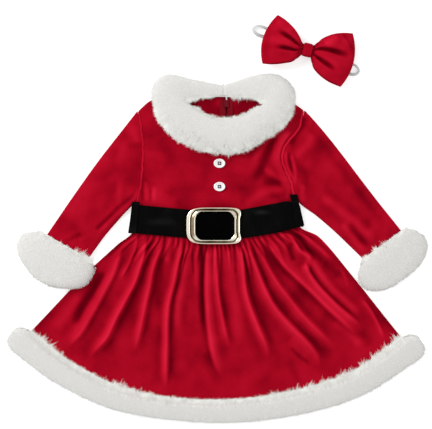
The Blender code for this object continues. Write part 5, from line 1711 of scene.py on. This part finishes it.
def hem_fringe(seed, turn_at, spread, reach, drop, count=800):
    """Strands from one line along the band, out over the cloth at its seam."""
    rng = np.random.default_rng(seed)
    share = ((HEM_ENDS + np.linspace(0.0, 1.0, count)) / (1 + 2 * HEM_ENDS)
             + rng.uniform(-0.001, 0.001, count))
    turn = turn_at + rng.uniform(-0.022, 0.018, count)
    point, normal, along = shell_frame(front_shell, turn, share)
    out = unit(front_shell(np.zeros(count), share, 0.0).T - point) * FLAT
    x = point[:, 0]
    slant = rng.normal(0, spread, count) + 0.55 * ease(0.06, 0.14, x)
    ways = unit(-out + along * np.sign(along[:, :1]) * slant[:, None] + (0, 0, drop))
    lump = np.clip(0.5 + 0.55 * wander(x, point[:, 1], 0.018, seed), 0.0, 1.2)
    shaggy = (0.35 + 1.5 * bell(x, -0.130, 0.034) + 1.4 * ease(0.05, 0.10, x)
              + 1.2 * bell(x, -0.235, 0.024))
    lengths = 0.0050 + (0.0010 + shaggy * reach * lump ** 1.5) * rng.uniform(0.2, 1.3, count)
    return point - ways * 0.0020 - (0, 0, CLEARANCE), ways, lengths, normal


back_seam = HEM_CLOTH_LIFT + CLOTH / 2
front_shell = hem_shell(HEM_BACK_FUR + GAP, HEM_FRONT_FUR, back_seam + ONE_LAYER + CLEARANCE)
back_shell = hem_shell(0.0, HEM_BACK_FUR, back_seam)
padded_base("hem_front", front_shell, 30, 170)
padded_base("hem_back", lambda u, v, inset: back_shell(u, v, inset * 0.4), 24, 130)
hair_over("hem_front_hair", front_shell, spacing=0.00225, bunch=16, comb=hem_comb, seed=61,
          weight=lambda z: ease(0.007, 0.013, z) * 0.92 + 0.08, streaks_and_shade=hem_streak)
hair_over("hem_back_hair", back_shell, spacing=0.0036, bunch=10, comb=hem_comb, seed=71,
          weight=np.ones_like, streaks_and_shade=hem_streak, length=0.0060)
fringe("hem_edge", [hem_fringe(81, 0.470, 0.45, 0.0056, -0.05),
                    hem_fringe(82, 0.435, 0.45, 0.0056, -0.10),
                    hem_fringe(84, 0.395, 0.40, 0.0050, -0.16)], bunch=8, seed=83)

# %% [markdown]
# ## Bow
#
# Each wing of the bow is one strip of velvet that goes out over the top, turns and comes back
# underneath, so it is a loop open at both sides. The knot pinches it, the velvet spreads beside
# the knot, and soft pleats fan out of the pinch. The knot is a short band wrapped round it.

# %% Bow tables and wings
# In the bow's own axes: a runs along the bow from its knot, b across it
BOW_X, BOW_Y, BOW_TURN = 0.1274, 0.2290, radians(-15)
WING = "WingRow", "reach top_a top_b low_a low_b bulge height middle", "1mmmmmmm"
WING_LEFT = table(
    *WING,
    (0, 0.6, 5.2, 0.6, -5.2, 0, 8, 8.9), (0.154, 9.2, 7.6, 9.2, -8, 0, 9.2, 9.2),
    (0.3, 15, 13.8, 14.5, -19, 1, 15, 10.8), (0.5, 26, 23, 25.2, -25.2, 3, 18.5, 12.2),
    (0.75, 40, 30.8, 40.5, -31.2, 6, 19.5, 12.7), (1, 52.8, 36, 55.8, -34.8, 10, 18.5, 12.2),
)
WING_RIGHT = table(
    *WING,
    (0, 0.6, 5.2, 0.6, -5.2, 0, 8, 8.9), (0.154, 9.2, 8, 9.2, -8.2, 0, 9.2, 9.2),
    (0.3, 14.8, 19, 12.8, -19.4, 1, 15, 10.8), (0.5, 26.8, 28.3, 22.8, -27.8, 3, 18.5, 12.2),
    (0.75, 40.5, 34.2, 38.8, -34.6, 6, 19.5, 12.7), (1, 55, 38, 57.5, -38, 10, 18.5, 12.2),
)
# Pleats pressed into a wing by the knot: where across the wing they lie, near it and far out
PLEAT = "Pleat", "near far depth width reach", "11m11"
PLEATS_LEFT = table(*PLEAT, (0.35, 0.48, 4.2, 0.26, 0.80), (-0.10, -0.32, 3.8, 0.24, 0.75))
PLEATS_RIGHT = table(*PLEAT, (0.30, 0.16, 4.0, 0.24, 0.95), (-0.25, -0.58, 4.2, 0.24, 0.80))
# Painted light with no height: painted highlights and painted shade lines on the wings
BOW_PAINTED_LIGHT = (
    ridge(0, -0.55, 2.2, 176, 250, 184, 240, 189, 227),
    ridge(0, 0.85, 6, 150, 236, 162, 243, 170, 245),
    ridge(0, 0.35, 5, 146, 216, 158, 212, 172, 206),
    ridge(0, 0.5, 6, 84, 268, 95, 263, 108, 254),
    ridge(0, 0.6, 5, 74, 243, 90, 241, 106, 238),
    ridge(0, -0.4, 5, 80, 276, 70, 254, 66, 232, 67, 214),
    ridge(0, -0.35, 4, 191, 248, 192, 226, 189, 204, 180, 188),
)


def bow_to_world(a, b, z):
    c, s = cos(BOW_TURN), sin(BOW_TURN)
    return BOW_X + a * c - b * s, BOW_Y + a * s + b * c, z


def wing_place(rows, pleats, way, flare_up, flare_down):
    """One wing; the flares are how much further than its table it spreads beside the knot."""
    def place(u, v):
        along, across = 2 * v - 1, 2 * u - 1
        reach = 1 - np.abs(along) ** 1.25
        row = section(rows, reach)
        flare = bell(reach, 0.165, 0.065)
        part = (1 - across) / 2
        a = mix(row.top_a, row.low_a, part) + row.bulge * (1 - across ** 2)
        b = mix(row.top_b + flare_up * flare, row.low_b - flare_down * flare, part)
        layer = np.sign(np.where(np.abs(along) < 1e-6, 0.0, along))
        open_half = row.height / 2 * np.sqrt(np.maximum(1 - reach ** 5, 0.0))
        z = row.middle + layer * open_half * (1 - 0.28 * across ** 4)
        # Painted shade on the wing near the knot's pinch
        tone = 0.05 - 0.30 * (1 - ease(0.0, 0.22, reach))
        for pleat in pleats:
            line = mix(pleat.near, pleat.far, reach)
            away = np.minimum(np.abs(across - line) / (pleat.width * 0.8), 1.0)
            ended = ease(pleat.reach * 0.7, pleat.reach * 1.05, reach)
            fade = ease(0.10, 0.35, reach) * (1 - ended)
            dip = (1 - away) ** 2 * (1 + 2 * away) * fade * (layer > 0)
            z = z - 1.15 * pleat.depth * dip
            # Painted shade in the pleat
            tone = tone - 0.62 * dip ** 1.6
        waves = 0.0006 * wander(a + 0.1 * way, b, 0.018, 90 + way) * ease(0.2, 0.5, reach)
        ruck = (0.0005 * np.sin(across * 13 + 2.0 * way) * (1 - ease(0.15, 0.55, reach))
                * ease(0.05, 0.15, reach))
        x, y, z = bow_to_world(way * a, b, z + (waves + ruck) * (layer > 0))
        return x, y, z, tone + folded(BOW_PAINTED_LIGHT, x, y)[1]
    return place


for name, *shape in (("bow_wing_left", WING_LEFT, PLEATS_LEFT, -1, 0.0, 0.0048),
                     ("bow_wing_right", WING_RIGHT, PLEATS_RIGHT, 1, 0.0036, 0.0052)):
    sew(name, (60, 104), wing_place(*shape), (5, 5),
        turned=as_loop)

# %% [markdown]
# The knot is a tube round the pinch of the bow. Its section is a squared-off oval, it is drawn
# in a little at both ends, and faint rucks run round it.

# %% Knot
def knot_place(turn, v):
    angle = 2 * pi * turn
    waist_in = 0.0010 * (2 * v - 1) ** 4
    rucks = 0.00012 * np.sin(v * 19 + 3 * np.sin(angle)) * inside(0.0, 0.15, v)
    b = (0.0092 - waist_in + rucks * 0.4) * power(np.cos(angle), 0.5)
    z = 0.0087 + (0.0087 - waist_in * 0.5 + rucks) * power(np.sin(angle), 0.5)
    return bow_to_world((2 * v - 1) * 0.0065, b, np.maximum(z, 0.0))


sew("bow_knot", (96, 24), knot_place, (2, 2),
    turned=as_tube, thick=0.0016)

# %% [markdown]
# ## Elastic headband
#
# The headband is one loop of narrow white elastic that goes through the knot. It lies flat under
# the bow and stands up on edge where it turns at either side. A woven elastic has fine ribs along
# its length, which come from a wave on the strip's own map.

# %% Ribbon
# In the bow's axes; stand is 0 where it lies flat, 1 on edge
RIBBON = table(
    "RibbonRow", "a b stand lift", "mm1m",
    (-80.2, 10, 1, 0), (-75.5, 15.6, 1, 0), (-65, 15.8, 0.8, 0), (-38, 10, 0.1, 0),
    (-13, 3.6, 0, 1.6), (0, 3.1, 0, 2.2), (13, 3.4, 0, 1.6), (38, 1, 0.1, 0), (62, -1.4, 0.8, 0),
    (72, -3.2, 1, 0), (76.8, -9.2, 1, 0), (72.2, -15, 1, 0), (62, -15.5, 0.8, 0),
    (38, -11, 0.1, 0), (13, -3.7, 0, 1.6), (0, -3.1, 0, 2.2), (-13, -3.4, 0, 1.6),
    (-38, 1.2, 0.1, 0), (-65, 3, 0.8, 0), (-75.5, 4.6, 1, 0),
)
RIBBON_WIDTH, RIBBON_THICK, RIBBON_ON_EDGE = 0.0055, 0.0010, radians(52)


def ribbon_row(turn):
    """The ribbon's rows at turns of its closed ring, on a smooth curve through the table."""
    position = (turn % 1.0) * len(RIBBON)
    i = np.floor(position).astype(int)
    t = (position - i)[:, None]
    before, low, high, after = (np.array(RIBBON)[(i + k) % len(RIBBON)] for k in (-1, 0, 1, 2))
    return (0.5 * (2 * low + (high - before) * t
                   + (2 * before - 5 * low + 4 * high - after) * t ** 2
                   + (3 * low - before - 3 * high + after) * t ** 3)).T


def ribbon_place(turn, v):
    a, b, stand, lift = ribbon_row(turn)
    ahead_a, ahead_b = ribbon_row(turn + 0.004)[:2]
    run = np.array([ahead_a - a, ahead_b - b])
    run = run / np.hypot(*run)
    tilt = RIBBON_ON_EDGE * np.clip(stand, 0.0, 1.0)
    step = (0.5 - v) * RIBBON_WIDTH * np.cos(tilt)
    z = (np.maximum(lift, 0.0) + RIBBON_THICK * 0.5 + CLEARANCE
         + (1 - v) * RIBBON_WIDTH * np.sin(tilt) * 0.9)
    return bow_to_world(a + run[1] * step, b - run[0] * step, z)


elastic, elastic_tree, elastic_shader = new_material("White elastic", Roughness=0.6)
wave = elastic_tree.nodes.new("ShaderNodeTexWave")
wave.bands_direction = "Y"
wave.inputs["Scale"].default_value = 3.2
wave.inputs["Distortion"].default_value = 0.4
feed(elastic_tree, elastic_tree.nodes.new("ShaderNodeUVMap").outputs["UV"], wave.inputs["Vector"])
colour(elastic_tree, elastic_shader, wave.outputs["Fac"],
       ((0.2, (0.51, 0.52, 0.52)), (0.8, (0.72, 0.73, 0.73))))
bump(elastic_tree, elastic_shader, wave.outputs["Fac"], 0.0003, 0.8)
ribbon = grid("headband_ribbon", 300, 8, ribbon_place)
as_tube(ribbon)
ribbon_area = thicken(ribbon, RIBBON_THICK, 0.0)
finish(ribbon, elastic, "elastic", replaces=("headband",))
print("ribbon:", round(1000 * ribbon_area / RIBBON_WIDTH), "mm long")

# %% [markdown]
# ## Table, light and camera
#
# The set was photographed from straight above in broad soft light. One large lamp up to the left
# gives the folds their form, a second weaker one fills from the right, and a bright sky keeps the
# shadows open. The camera has a 100 mm lens, 1.68 m up, which makes one pixel 1.4 mm.

# %% Floor, lamps and camera
white_table = new_material(
    "White table", Roughness=0.9, Specular_IOR_Level=0.0, Base_Color=(0.60, 0.60, 0.60, 1.0),
    Emission_Color=(1.0, 1.0, 1.0, 1.0), Emission_Strength=0.56)[0]
floor = primitive("floor", bpy.ops.mesh.primitive_plane_add, size=6.0, location=(0, 0, -0.0004))
floor.data.materials.append(white_table)

world = bpy.data.worlds.new("Soft sky")
world.use_nodes = True
sky = world.node_tree.nodes["Background"].inputs
sky[0].default_value, sky[1].default_value = (1.0, 1.0, 1.0, 1.0), 0.74
scene.world = world


def place_new(name, data, location, turn=(0, 0, 0)):
    obj = bpy.data.objects.new(name, data)
    scene.collection.objects.link(obj)
    obj.location, obj.rotation_euler = location, turn
    return obj


def lamp(name, location, size, watts):
    data = bpy.data.lights.new(name, "AREA")
    data.shape, data.size, data.energy = "SQUARE", size, watts
    place_new(name, data, location, (-Vector(location)).to_track_quat("-Z", "Y").to_euler())


lamp("key", (-1.5, 1.1, 1.5), 1.1, 38)
lamp("fill", (1.6, -0.4, 1.7), 1.4, 9)
camera_data = bpy.data.cameras.new("photo")
camera_data.lens, camera_data.sensor_width = 100, 36
scene.camera = place_new("photo", camera_data, (0, 0, 1.68))
scene.view_settings.view_transform = "Standard"
print("camera", round(scene.camera.location.z, 2), "m up, lens", camera_data.lens, "mm")
